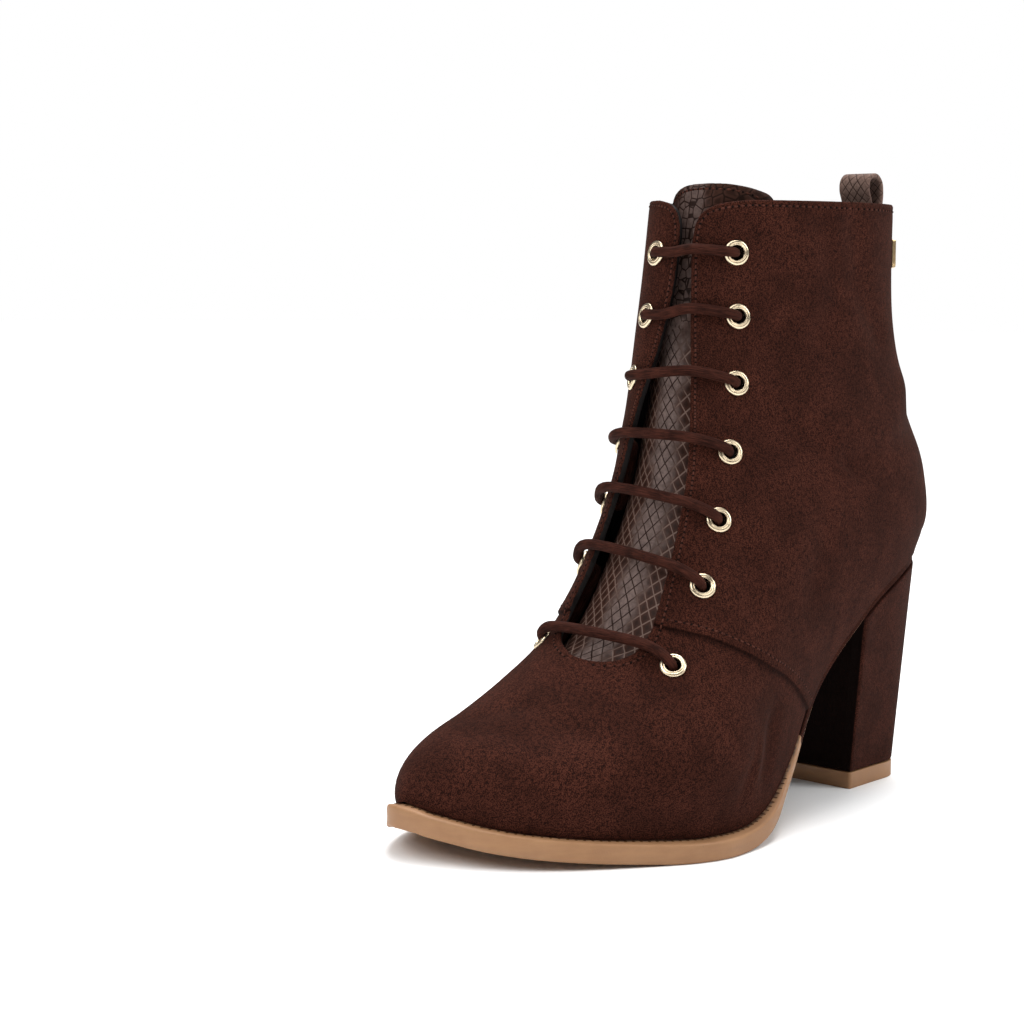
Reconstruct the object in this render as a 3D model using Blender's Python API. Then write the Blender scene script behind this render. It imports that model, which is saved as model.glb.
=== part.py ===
"""Left ankle boot with a block heel, as separate closed solids.

Metres. The toe points to -Y, the wearer's left (lateral) side to +X, up is +Z, the floor is z = 0.
Sizes in the tables are millimetres; "along" is the distance from the heel towards the toe.
"""

from math import pi, radians

import bmesh
import bpy
import numpy as np
from mathutils import Matrix, Vector
from mathutils.geometry import delaunay_2d_cdt

MM = 0.001

# Finishes: linear colour, roughness and metallic value
FINISHES = {
    "suede": ((0.047, 0.021, 0.016), 0.95, 0.0),
    "scaled_leather": ((0.090, 0.066, 0.056), 0.45, 0.0),
    "gum": ((0.400, 0.215, 0.110), 0.60, 0.0),
    "lining": ((0.020, 0.016, 0.015), 0.85, 0.0),
    "pale_gold": ((0.720, 0.560, 0.360), 0.25, 1.0),
    "tape": ((0.012, 0.011, 0.011), 0.90, 0.0),
    "gunmetal": ((0.110, 0.105, 0.105), 0.35, 1.0),
}
NODE_FINISH = {
    "upper": "suede", "heel": "suede", "lace": "suede",
    "tongue": "scaled_leather", "pull_loop": "scaled_leather",
    "outsole": "gum", "heel_top_lift": "gum", "insole": "lining",
    "eyelet": "pale_gold", "back_plate": "pale_gold",
    "zip_tape": "tape", "zip_chain": "gunmetal", "zip_slider": "gunmetal", "zip_pull": "gunmetal",
}
SHARP_ANGLE = radians(35.0)

# Where the frame's origin lies in the last's own sizes
ORIGIN_X = 9.66
ORIGIN_ALONG = 110.8

# The last: one row per section, toe to above the collar
LAST_COLUMNS = (
    "front_along", "front_height", "base_along", "base_height", "lateral", "medial",
    "belly", "feather_lateral", "feather_medial", "centre",
)
LAST = {
    "tip": (227.2, 16.9, 227.2, 16.9, 0.0, 0.0, 0.70, 0.0, 0.0, -10.6),
    "nose": (223.2, 25.4, 224.4, 14.6, 12.8, 9.8, 0.70, 10.8, 8.4, -8.4),
    "toe": (215.8, 32.8, 216.4, 11.8, 26.0, 20.4, 0.69, 24.6, 19.0, -5.4),
    "toe_box": (204.0, 38.7, 203.0, 9.6, 37.0, 30.6, 0.67, 34.9, 29.0, -2.4),
    "vamp": (188.0, 45.2, 184.0, 7.7, 45.8, 38.2, 0.66, 42.9, 36.2, 0.4),
    "ball": (172.8, 55.0, 160.0, 6.4, 52.6, 41.0, 0.65, 50.2, 38.0, 2.3),
    "throat": (160.6, 66.3, 136.0, 8.1, 51.0, 40.0, 0.62, 48.4, 35.4, 3.8),
    "instep": (150.8, 82.8, 110.0, 19.2, 43.4, 36.6, 0.58, 39.0, 33.0, 4.8),
    "arch": (142.0, 101.3, 82.0, 43.0, 37.7, 33.9, 0.54, 29.6, 29.0, 4.3),
    "breast": (136.2, 116.5, 52.0, 65.5, 35.6, 33.5, 0.52, 28.4, 27.6, 3.1),
    "seat": (133.0, 127.6, 24.0, 78.0, 35.6, 34.5, 0.50, 25.2, 25.2, 1.7),
    "heel": (130.6, 136.7, -5.0, 83.7, 36.2, 35.3, 0.50, 0.0, 0.0, 0.4),
    "counter": (127.6, 147.3, -7.7, 104.0, 35.2, 34.4, 0.50, 0.0, 0.0, -0.9),
    "ankle": (124.0, 160.0, 0.5, 132.0, 32.2, 31.4, 0.50, 0.0, 0.0, -3.0),
    "shaft": (120.0, 178.2, 8.5, 163.0, 30.6, 29.7, 0.50, 0.0, 0.0, -4.0),
    "collar": (116.0, 201.5, 10.6, 203.0, 31.0, 30.2, 0.50, 0.0, 0.0, -4.1),
    "above": (112.3, 221.0, 10.4, 225.0, 31.2, 31.2, 0.50, 0.0, 0.0, -4.0),
}
STATIONS = list(LAST)
U_HEEL = float(STATIONS.index("heel"))
U_COLLAR = float(STATIONS.index("collar"))
U_END = len(STATIONS) - 1.0
FRONT_SHARE = 0.55

# Upper
WALL = 1.6
QUARTER_STEP = 0.9
GAP = 0.3
UPPER_SPACING = 9.0
SEAM_WIDTH = 0.035
# Vamp seam, from the throat to the feather edge: girth and station
SEAM = ((0.10, 6.36), (0.19, 6.42), (0.35, 6.85), (0.54, 7.30), (0.75, 7.54), (1.00, 7.69))
# Throat, bottom to top: station, lateral edge and medial edge out from the section's centre
THROAT = (
    (5.22, 6.0, 6.0), (5.27, 12.0, 0.5), (5.40, 16.2, -4.0), (5.60, 19.2, -8.8), (5.85, 20.8, -12.2),
    (6.20, 21.0, -14.2), (6.60, 20.0, -14.9), (7.15, 18.2, -14.3), (7.90, 16.6, -13.4), (8.50, 15.6, -12.2),
    (9.50, 14.4, -9.2), (11.00, 13.1, -4.6), (12.45, 11.8, 1.2), (13.50, 10.4, 4.2), (14.30, 8.9, 4.7),
    (14.55, 8.9, 4.5), (14.73, 9.6, 3.6), (14.86, 11.7, 1.8), (14.95, 15.5, -1.2), (15.00, 21.0, -6.5),
)

# Eyelets, top row first: height and distance out from the centre on the lateral side, then the medial side
EYELETS = (
    (184.4, 19.2, 184.0, -3.8), (163.7, 20.7, 163.5, -4.9), (142.2, 22.1, 143.2, -10.4),
    (120.4, 23.4, 121.8, -19.0), (99.4, 25.1, 101.2, -23.2), (79.5, 27.8, 81.8, -24.4),
    (56.9, 32.6, 58.8, -22.6),
)
EYELET_HOLE = 3.6
EYELET_SEGMENTS = 10
# Ring section: radius and height over the upper
EYELET_PROFILE = ((2.35, 0.95), (3.3, 1.25), (4.3, 0.45), (4.0, 0.25), (2.9, 0.25), (2.9, -1.8), (2.35, -1.8))

# Lace: its heights are of its middle over the upper, and over the last at the middle of the throat
LACE_RADIUS = 1.85
LACE_SIDES = 6
LACE_DEPTH = 4.0
# The lowest run lies deeper, under the hollow of the instep
LACE_DIP = 0.5
LACE_OVER_RING = 3.8
LACE_OVER_UPPER = 2.8
LACE_OVER_THROAT = -0.6

# Tongue by station: lateral and medial edge, and depth of its face under the upper's outside
TONGUE = (
    (4.55, 9.0, 2.0, 2.0), (4.70, 17.0, -7.0, 2.1), (5.10, 22.0, -13.0, 2.7), (5.60, 24.0, -17.0, 4.6),
    (6.20, 24.5, -19.0, 6.2), (8.00, 23.5, -21.5, 6.2), (11.00, 25.0, -18.5, 6.2), (13.00, 26.0, -15.0, 6.2),
    (14.50, 27.0, -13.5, 6.2), (15.00, 26.5, -12.0, 6.2), (15.18, 23.5, -8.5, 6.2), (15.29, 17.5, -2.0, 6.2),
    (15.33, 10.0, 4.5, 6.2),
)
TONGUE_THICK = 1.6

# Zip on the medial side: height and along of its middle
ZIP = ((203.0, 42.0), (180.0, 41.5), (150.0, 41.0), (120.0, 42.0), (100.0, 45.0), (88.0, 49.0), (80.0, 54.0))
ZIP_HALF_SLOT = 4.0
ZIP_HALF_TAPE = 7.6
ZIP_HALF_CHAIN = 2.4
ZIP_TAPE_THICK = 0.8
ZIP_TAPE_GAP = 0.6
ZIP_CHAIN_THICK = 1.5
SLIDER_HEIGHT = 188.0
SLIDER_OUTLINE = ((-2.6, -5.0), (2.6, -5.0), (3.4, 2.5), (2.4, 5.0), (-2.4, 5.0), (-3.4, 2.5))
SLIDER_THICK = 2.0
BRIDGE_HALF = 0.8
BRIDGE_LEG = 3.4
BRIDGE_LOW = 4.0
BRIDGE_HIGH = 5.4
PULL_RISE = 3.0
PULL_THICK = 1.3
PULL_HALF = 2.6
PULL_LENGTH = 25.2
PULL_ARM = 7.0
PULL_CORNER = (0.8, 1.2)

# Sole
# Ledge outside the feather edge by station: lateral and medial
WELT = (
    (0.0, 4.0, 4.0), (1.5, 3.6, 3.0), (3.5, 3.9, 3.0), (5.0, 5.7, 2.8), (5.6, 4.5, 2.2), (6.3, 3.1, 1.2),
    (7.2, 1.0, -0.2), (9.0, 0.1, -0.2), (11.0, 0.3, 0.3),
)
SOLE_THICK = ((0.0, 6.4), (5.3, 5.8), (6.3, 5.6), (7.5, 3.6), (9.0, 3.0), (11.0, 3.0))
SOLE_FLAT = 0.45
SOLE_BEVEL = 0.7
INSOLE_INSET = 3.4
INSOLE_THICK = 2.4

# Heel: station of its breast at the seat, and half outline of its foot from breast to back (out, along)
HEEL_BREAST_U = 8.97
HEEL_FOOT = (
    (24.0, 49.3), (23.0, 41.0), (21.9, 32.0), (21.1, 24.2),
    (19.8, 19.4), (17.0, 16.4), (9.0, 14.8), (0.0, 14.4),
)
HEEL_CENTRE = 0.3
HEEL_HEAD_INSET = -0.6
LIFT_THICK = 5.8

# Loop at the back of the collar: along and height of its middle line
LOOP_PATH = (
    (14.6, 188.0), (14.7, 195.0), (14.7, 201.0), (15.8, 205.0), (17.2, 208.5), (17.0, 211.8), (15.0, 213.6),
    (11.8, 213.6), (9.6, 211.4), (9.0, 207.5), (9.3, 203.9),
)
LOOP_THICK = 1.7
LOOP_HALF = 6.5

# Plate beside the back seam
PLATE_STATIONS = (14.43, 14.67)
PLATE_GIRTH = (0.815, 0.955)
PLATE_THICK = 1.2


def place(point):
    """Sizes of the last (x, along, height) in millimetres to the part's frame in metres."""
    x, along, height = np.moveaxis(np.asarray(point, float), -1, 0)
    return np.stack([x - ORIGIN_X, ORIGIN_ALONG - along, height], -1) * MM


def along_rows(rows, at, pick=1):
    """Value of a short table's column at a place in its first column."""
    return np.interp(at, [row[0] for row in rows], [row[pick] for row in rows])


def column(name, u):
    """A column of the last's table at station u, by a curve through its rows."""
    values = np.array([row[LAST_COLUMNS.index(name)] for row in LAST.values()])
    square = name.startswith("feather")
    if square:
        values = values ** 2
    first = 2 * values[0] - values[1]
    if name.endswith("along"):
        first = values[1]
    padded = np.concatenate([[first], values, [2 * values[-1] - values[-2]]])
    k = np.clip(np.floor(u).astype(int), 0, len(values) - 2)
    t = u - k
    a, b, c, d = padded[k], padded[k + 1], padded[k + 2], padded[k + 3]
    cubic = (3 * b - a - 3 * c + d) * t + (2 * a - 5 * b + 4 * c - d)
    result = b + 0.5 * t * ((c - a) + t * cubic)
    if square:
        return np.sqrt(np.maximum(result, 0.0))
    return result


def last_point(u, v):
    """Outside of the last (x, along, height) at station u and girth v: -1 medial, 0 ridge, 1 lateral."""
    u, v = np.broadcast_arrays(np.asarray(u, float), np.asarray(v, float))
    lateral = v >= 0
    reach = np.where(lateral, column("lateral", u), column("medial", u))
    feather = np.where(lateral, column("feather_lateral", u), column("feather_medial", u))
    belly = column("belly", u)
    share = np.abs(v)
    phi = np.clip(share / FRONT_SHARE, 0, 1) * pi / 2
    end = np.arccos(np.clip(feather / np.maximum(reach, 1e-6), 0, 0.999))
    psi = np.clip((share - FRONT_SHARE) / (1 - FRONT_SHARE), 0, 1) * end
    in_front = share <= FRONT_SHARE
    out = reach * np.where(in_front, np.sin(phi), np.cos(psi))
    down = np.where(in_front, belly * (1 - np.cos(phi)), belly + (1 - belly) * np.sin(psi) / np.sin(end))
    x = column("centre", u) + np.where(lateral, out, -out)
    front_along = column("front_along", u)
    front_height = column("front_height", u)
    along = front_along + (column("base_along", u) - front_along) * down
    height = front_height + (column("base_height", u) - front_height) * down
    return np.stack([x, along, height], -1)


def last_normal(u, v):
    """Outward unit normal of the last's outside."""
    u, v = np.broadcast_arrays(np.asarray(u, float), np.asarray(v, float))
    u = np.clip(u, 0.06, U_END - 0.01)
    v = np.clip(v, -0.9999, 0.9999)
    by_u = last_point(u + 0.01, v) - last_point(u - 0.01, v)
    by_v = last_point(u, np.minimum(v + 0.005, 1.0)) - last_point(u, np.maximum(v - 0.005, -1.0))
    cross = np.cross(by_u, by_v)
    return cross / np.linalg.norm(cross, axis=-1, keepdims=True)


def girth_of(u, out):
    """Girth v in front where the section at station u is the distance out from its centre."""
    reach = float(column("lateral" if out > 0 else "medial", np.asarray(u, float)))
    return FRONT_SHARE * np.arcsin(min(max(out / reach, -1.0), 1.0)) * 2 / pi


def locate(target, axes, start):
    """Station and girth where two axes of the last's outside take the target values."""
    u, v = start
    for _ in range(40):
        here = last_point(u, v)[axes]
        by_u = (last_point(u + 0.005, v)[axes] - here) / 0.005
        by_v = (last_point(u, v + 0.002)[axes] - here) / 0.002
        du, dv = np.linalg.solve(np.stack([by_u, by_v], 1), np.asarray(target) - here)
        u = min(max(u + np.clip(du, -0.5, 0.5), 0.2), U_END - 0.05)
        v = min(max(v + np.clip(dv, -0.1, 0.1), -0.99), 0.99)
    return u, v


CHART_U = np.linspace(0.0, U_END, 321)
CHART_V = np.linspace(-1.0, 1.0, 81)
CHART_GRID = last_point(CHART_U[:, None], CHART_V[None, :])
CHART_STEP = np.linalg.norm(np.diff(CHART_GRID, axis=0), axis=2).mean(axis=1)
CHART_P = np.concatenate([[0.0], np.cumsum(CHART_STEP)])
CHART_Q = np.linalg.norm(np.diff(CHART_GRID, axis=1), axis=2).sum(axis=1) / 2


def to_chart(uv):
    """Flat chart of the last, about true to size: station and girth to millimetres."""
    u, v = np.asarray(uv, float).T
    return np.stack([np.interp(u, CHART_U, CHART_P), v * np.interp(u, CHART_U, CHART_Q)], 1)


def from_chart(pq):
    """Station and girth of places on the flat chart."""
    p, q = np.asarray(pq, float).T
    u = np.interp(p, CHART_P, CHART_U)
    return np.stack([u, q / np.maximum(np.interp(u, CHART_U, CHART_Q), 1e-9)], 1)


def inside(points, loop):
    """Which chart points lie inside a closed loop."""
    x, y = points[:, :1], points[:, 1:]
    ax, ay = loop.T
    bx, by = np.roll(loop, -1, axis=0).T
    spans = (ay > y) != (by > y)
    cross = ax + (y - ay) * (bx - ax) / np.where(by == ay, 1e-12, by - ay)
    return (np.sum(spans & (x < cross), axis=1) % 2) == 1


def sheet(outline, holes, lines, spacing):
    """Triangles over a region of the chart: station and girth per corner, and corner numbers."""
    loops = [to_chart(loop) for loop in [outline] + holes]
    chains = [to_chart(line) for line in lines]
    points, edges = [], []
    for loop in loops:
        first = len(points)
        points += loop.tolist()
        edges += [(first + i, first + (i + 1) % len(loop)) for i in range(len(loop))]
    for chain in chains:
        first = len(points)
        points += chain.tolist()
        edges += [(first + i, first + i + 1) for i in range(len(chain) - 1)]
    fixed = np.array(points)
    low, high = loops[0].min(axis=0), loops[0].max(axis=0)
    rows = np.arange(low[0] + 0.5 * spacing, high[0], spacing * 0.87)
    grid = []
    for number, row in enumerate(rows):
        shift = 0.5 * spacing * (number % 2)
        grid += [(row, q) for q in np.arange(low[1] + shift, high[1], spacing)]
    grid = np.array(grid).reshape(-1, 2)
    near = np.linalg.norm(grid[:, None] - fixed[None], axis=2).min(axis=1)
    keep = inside(grid, loops[0]) & (near > 0.6 * spacing)
    for hole in loops[1:]:
        keep &= ~inside(grid, hole)
    points += grid[keep].tolist()
    result = delaunay_2d_cdt(points, edges, [], 0, 1e-5)
    corners = np.array([tuple(p) for p in result[0]])
    faces = np.array([tuple(f) for f in result[2]])
    middle = corners[faces].mean(axis=1)
    keep = inside(middle, loops[0])
    for hole in loops[1:]:
        keep &= ~inside(middle, hole)
    faces = faces[keep]
    used = np.unique(faces)
    renumber = np.full(len(corners), -1)
    renumber[used] = np.arange(len(used))
    return from_chart(corners[used]), renumber[faces]


def signed_volume(mesh):
    """Six times the volume inside a closed mesh, negative when its faces point inwards."""
    corner = np.array([v.co for v in mesh.vertices])
    total = 0.0
    for face in mesh.polygons:
        ring = corner[list(face.vertices)]
        for i in range(1, len(ring) - 1):
            total += np.dot(ring[0], np.cross(ring[i], ring[i + 1]))
    return total


def finish(name):
    """Material of a node, made once for each finish."""
    word = NODE_FINISH["eyelet" if name.startswith("eyelet") else name]
    if word in bpy.data.materials:
        return bpy.data.materials[word]
    colour, roughness, metallic = FINISHES[word]
    material = bpy.data.materials.new(word)
    material.use_nodes = True
    shader = material.node_tree.nodes["Principled BSDF"]
    shader.inputs["Base Color"].default_value = (*colour, 1.0)
    shader.inputs["Roughness"].default_value = roughness
    shader.inputs["Metallic"].default_value = metallic
    return material


def put(name, data):
    """An object of the scene from a mesh or a curve."""
    thing = bpy.data.objects.new(name, data)
    bpy.context.scene.collection.objects.link(thing)
    return thing


def mesh_object(name, points, faces):
    """A mesh object in the scene from points in metres and its faces."""
    mesh = bpy.data.meshes.new(name)
    mesh.from_pydata([tuple(p) for p in points], [], [tuple(int(i) for i in f) for f in faces])
    if signed_volume(mesh) < 0:
        mesh.flip_normals()
    mesh.shade_smooth()
    mesh.set_sharp_from_angle(angle=SHARP_ANGLE)
    return put(name, mesh)


def thick_sheet(name, uv, faces, outer, inner):
    """Closed solid between two offsets, in millimetres, of a sheet on the last."""
    base = last_point(uv[:, 0], uv[:, 1])
    normal = last_normal(uv[:, 0], uv[:, 1])
    top = place(base + normal * np.broadcast_to(outer, len(uv))[:, None])
    low = place(base + normal * np.broadcast_to(inner, len(uv))[:, None])
    gaps = np.linalg.norm(base[:, None] - base[None], axis=2)
    first = np.argmax(gaps < 0.02, axis=1)
    faces = first[faces]
    whole = (faces[:, 0] != faces[:, 1]) & (faces[:, 1] != faces[:, 2]) & (faces[:, 2] != faces[:, 0])
    faces = faces[whole]
    a, b, c = (base[faces[:, i]] for i in range(3))
    facing = np.sum(np.cross(b - a, c - a) * normal[faces].sum(axis=1))
    if facing > 0:
        faces = faces[:, ::-1]
    count = len(uv)
    edges = {}
    for face in faces:
        for i in range(3):
            edges[(face[i], face[(i + 1) % 3])] = True
    rims = [(j, i, i + count, j + count) for i, j in edges if (j, i) not in edges]
    solid = faces.tolist() + (faces[:, ::-1] + count).tolist() + rims
    return mesh_object(name, np.concatenate([top, low]), solid)


def spaced(start, stop, count):
    """Evenly spaced values without the last one."""
    return np.linspace(start, stop, count, endpoint=False)


def seam_station(v):
    """Station of the vamp seam at a girth."""
    return along_rows(SEAM, np.abs(v))


def raised(u, v):
    """How far the upper's outside stands over the last: the quarter lies over the vamp."""
    return np.where(u > seam_station(v) - 0.5 * SEAM_WIDTH, QUARTER_STEP, 0.0)


def zip_edge(offset, heights):
    """Stations and girths of a line beside the zip's middle."""
    rows = ZIP[::-1]
    line = []
    start = (14.5, -0.6)
    for height in heights:
        along = along_rows(rows, height) + offset
        start = locate((along, height), [1, 2], start)
        line.append(start)
    return line


def collar_girth(along, side):
    """Girth on the collar's edge at a place along."""
    v = np.linspace(0.3, 1.0, 400)
    return side * np.interp(-along, -last_point(U_COLLAR, side * v)[:, 1], v)


def edge_line(rows, pick, stations):
    """Stations and girths of one edge of the throat or tongue, bottom to top."""
    return [(u, girth_of(u, along_rows(rows, u, pick))) for u in stations]


def ring_on_last(u, v, radius, count):
    """Stations and girths of a ring of true radius about a place on the last."""
    by_u = (last_point(u + 0.01, v) - last_point(u - 0.01, v)) / 0.02
    by_v = (last_point(u, v + 0.005) - last_point(u, v - 0.005)) / 0.01
    first = by_u / np.linalg.norm(by_u)
    second = np.cross(last_normal(u, v), first)
    turns = spaced(0, 2 * pi, count)
    wanted = radius * (np.outer(np.cos(turns), first) + np.outer(np.sin(turns), second))
    steps = np.linalg.lstsq(np.stack([by_u, by_v], 1), wanted.T, rcond=None)[0]
    return [(u + du, v + dv) for du, dv in steps.T]


def eyelet_places():
    """Station and girth of each eyelet by side and row."""
    places = {}
    for first, word in ((0, "lateral"), (2, "medial")):
        u = 14.2
        for row, sizes in enumerate(EYELETS, start=1):
            height, out = sizes[first:first + 2]
            for _ in range(30):
                v = girth_of(u, out)
                slope = last_point(u + 0.01, v)[2] - last_point(u, v)[2]
                u += float(np.clip((height - last_point(u, v)[2]) / slope * 0.01, -0.4, 0.4))
            places[(word, row)] = (u, girth_of(u, out))
    return places


def build_upper(places):
    """Hollow upper with its throat, eyelet holes and zip slot."""
    tip = (0.0, 0.12, 0.3, 0.55)
    seat = (10.0, 10.25, 10.5, 10.7, 10.85, 10.94)
    foot = np.concatenate([tip, spaced(0.8, 9.8, 26), seat])
    back = np.linspace(U_HEEL, U_COLLAR, 15)
    sides = np.concatenate([foot, back])
    heights = (192.0, 180.0, 168.0, 156.0, 144.0, 132.0, 120.0, 110.0, 100.0, 92.0, 85.0)
    front_edge = zip_edge(ZIP_HALF_SLOT, heights)
    back_edge = zip_edge(-ZIP_HALF_SLOT, heights)
    slot_low = zip_edge(0.0, (80.0,))[0]
    slot_top = along_rows(ZIP[::-1], 203.0)
    slot_back = float(collar_girth(slot_top - ZIP_HALF_SLOT, -1))
    slot_front = float(collar_girth(slot_top + ZIP_HALF_SLOT, -1))
    outline = [(u, -1.0) for u in sides]
    outline += [(U_COLLAR, v) for v in np.linspace(-1.0, slot_back, 6)[1:]]
    outline += back_edge + [slot_low] + front_edge[::-1]
    stations = [row[0] for row in THROAT]
    lateral = edge_line(THROAT, 1, stations)
    medial = edge_line(THROAT, 2, stations)
    outline += [(U_COLLAR, v) for v in np.linspace(slot_front, medial[-1][1], 9)]
    outline += medial[-2::-1] + lateral[1:]
    outline += [(U_COLLAR, v) for v in np.linspace(lateral[-1][1], 1.0, 16)[1:-1]]
    outline += [(u, 1.0) for u in sides[:0:-1]]
    holes = [ring_on_last(u, v, EYELET_HOLE, EYELET_SEGMENTS) for u, v in places.values()]
    lines = []
    for side in (1, -1):
        girth = np.linspace(0.12, 1.03, 20) * side
        lines.append([(seam_station(v), v) for v in girth])
        lines.append([(seam_station(v) - SEAM_WIDTH, v) for v in girth])
    uv, faces = sheet(outline, holes, lines, UPPER_SPACING)
    return thick_sheet("upper", uv, faces, raised(uv[:, 0], uv[:, 1]), -WALL)


def build_tongue():
    """Sheet under the throat, tucked under the vamp and standing over the collar."""
    fine = np.concatenate([spaced(4.55, 5.6, 5), spaced(5.6, 15.0, 22), np.linspace(15.0, 15.33, 7)])
    outline = edge_line(TONGUE, 1, fine) + edge_line(TONGUE, 2, fine)[::-1]
    uv, faces = sheet(outline, [], [], UPPER_SPACING)
    depth = along_rows(TONGUE, uv[:, 0], 3)
    return thick_sheet("tongue", uv, faces, -depth, -depth - TONGUE_THICK)


def build_strip(name, half, top, low, outer, inner):
    """Strip of the zip between two heights and two offsets of the upper's outside."""
    heights = np.linspace(top, low, 15)
    outline = zip_edge(half, heights) + zip_edge(-half, heights)[::-1]
    middle = zip_edge(0.0, heights)
    uv, faces = sheet(outline, [], [middle], 40.0)
    return thick_sheet(name, uv, faces, outer, inner)


def frame_at(u, v):
    """Place and axes on the last: outward normal, level tangent towards the toe, and up."""
    centre = last_point(u, v)
    normal = last_normal(u, v)
    up = np.array([0.0, 0.0, 1.0])
    up = up - normal * normal.dot(up)
    up = up / np.linalg.norm(up)
    return centre, normal, np.cross(up, normal), up


def cord(name, path, radius, sides):
    """Round cord of one radius along a path in millimetres."""
    curve = bpy.data.curves.new(name, "CURVE")
    curve.dimensions = "3D"
    curve.bevel_depth = radius * MM
    curve.bevel_resolution = sides // 2 - 2
    curve.use_fill_caps = True
    spline = curve.splines.new("POLY")
    spline.points.add(len(path) - 1)
    for point, spot in zip(spline.points, place(path)):
        point.co = (*spot, 1.0)
    return put(name, curve)


def rounded(points, weight=0.25):
    """Path with each inner corner cut."""
    points = np.asarray(points, float)
    low = points[:-1] * (1 - weight) + points[1:] * weight
    high = points[:-1] * weight + points[1:] * (1 - weight)
    inner = np.stack([low, high], 1).reshape(-1, 3)
    return np.concatenate([points[:1], inner[1:-1], points[-1:]])


def build_lace(places):
    """Seven bars through the eyelets, joined by the runs behind them."""
    path = []
    for row in range(len(EYELETS), 0, -1):
        order = ("lateral", "medial") if row % 2 else ("medial", "lateral")
        bar, edges = [], []
        for word in order:
            u, v = places[(word, row)]
            centre = last_point(u, v)
            normal = last_normal(u, v)
            lift = raised(u, v)
            edge = girth_of(u, along_rows(THROAT, u, 1 if word == "lateral" else 2))
            ends = [centre + normal * rise for rise in (-LACE_DEPTH - 0.5, -1.9, lift + 2.6)]
            inwards = last_point(u, edge) - centre
            inwards = inwards - normal * normal.dot(inwards)
            inwards = inwards / np.linalg.norm(inwards)
            ends.append(centre + normal * (lift + LACE_OVER_RING) + inwards * 2.6)
            for share in (0.55, 1.0):
                at = v + (edge - v) * share
                rise = lift + LACE_OVER_UPPER + (LACE_OVER_RING - LACE_OVER_UPPER) * (1.0 - share)
                ends.append(last_point(u, at) + last_normal(u, at) * rise)
            edges.append((u, edge))
            bar += ends if word == order[0] else ends[::-1]
        half = len(bar) // 2
        middle = np.mean(edges, axis=0)
        over = last_point(*middle) + last_normal(*middle) * LACE_OVER_THROAT
        chord = 0.5 * (bar[half - 1] + bar[half])
        if np.dot(over - chord, last_normal(*middle)) < 0:
            over = chord
        path += bar[:half] + [over] + bar[half:]
        if row > 1:
            u, v = places[(order[1], row)]
            up_u, up_v = places[(order[1], row - 1)]
            depth = LACE_DEPTH + (LACE_DIP if row == len(EYELETS) else 0.0)
            for t in (0.25, 0.5, 0.75):
                at = (u + (up_u - u) * t, v + (up_v - v) * t)
                path.append(last_point(*at) - last_normal(*at) * depth)
    return cord("lace", rounded(path), LACE_RADIUS, LACE_SIDES)


def eyelet_mesh():
    """Ring turned from its section about the local Z axis."""
    ring = bmesh.new()
    corners = [ring.verts.new((radius * MM, 0.0, rise * MM)) for radius, rise in EYELET_PROFILE]
    edges = [ring.edges.new((corners[i - 1], corners[i])) for i in range(len(corners))]
    bmesh.ops.spin(
        ring, geom=corners + edges, cent=(0, 0, 0), axis=(0, 0, 1), angle=2 * pi,
        steps=EYELET_SEGMENTS, use_merge=True,
    )
    bmesh.ops.recalc_face_normals(ring, faces=ring.faces)
    mesh = bpy.data.meshes.new("eyelet")
    ring.to_mesh(mesh)
    ring.free()
    mesh.shade_smooth()
    mesh.set_sharp_from_angle(angle=SHARP_ANGLE)
    return mesh


def build_eyelets(places):
    """Rings of metal standing in their holes."""
    mesh = eyelet_mesh()
    for (word, row), (u, v) in places.items():
        ring = put(f"eyelet_{word}_{row}", mesh)
        centre = last_point(u, v) + last_normal(u, v) * raised(u, v)
        tip = place(centre + last_normal(u, v)) - place(centre)
        ring.location = place(centre)
        ring.rotation_euler = Vector(tip).to_track_quat("Z", "Y").to_euler()


def sole_outline():
    """Sole's edge by station: lateral and medial (x, along) pairs and the top's height."""
    tip = (0.0, 0.08, 0.2, 0.4, 0.65)
    seat = (10.0, 10.3, 10.55, 10.75, 10.9, 10.97, 11.0)
    u = np.concatenate([tip, spaced(1.0, 10.0, 25), seat])
    pairs = []
    for side in (1.0, -1.0):
        line = last_point(u, side)[:, :2]
        slope = np.gradient(line, axis=0)
        slope[0] = (side, 0.0)
        slope[-1] = (-side, 0.0)
        slope /= np.linalg.norm(slope, axis=1, keepdims=True)
        out = np.stack([-slope[:, 1], slope[:, 0]], 1) * side
        pairs.append((line, out, along_rows(WELT, u, 1 if side > 0 else 2)))
    return u, pairs


def flat_profile(u):
    """Heights of the sole's top and bottom at a station."""
    top = column("base_height", u) - GAP
    low = np.maximum(top - along_rows(SOLE_THICK, u) - SOLE_FLAT, 0.0)
    return top, low


def strip_solid(name, rings):
    """Closed solid from rings of equal size, lateral and medial halves matched, ends closed by points."""
    rows, count = rings.shape[:2]
    points = rings.reshape(-1, 3)
    gaps = np.linalg.norm(points[:, None] - points[None], axis=2)
    first = np.argmax(gaps < 0.02, axis=1)
    faces = []
    for row in range(rows - 1):
        for i in range(count):
            j = (i + 1) % count
            corner = [row * count + i, row * count + j, row * count + count + j, row * count + count + i]
            faces.append([int(first[k]) for k in corner])
    ends = [list(range(count - 1, -1, -1)), list(range((rows - 1) * count, rows * count))]
    faces += [[int(first[k]) for k in end] for end in ends]
    clean = []
    for face in faces:
        kept = [k for i, k in enumerate(face) if k != face[i - 1]]
        if len(kept) > 2 and len(set(kept)) == len(kept):
            clean.append(kept)
    used = sorted({k for face in clean for k in face})
    number = {k: i for i, k in enumerate(used)}
    return mesh_object(name, place(points[used]), [[number[k] for k in face] for face in clean])


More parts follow.
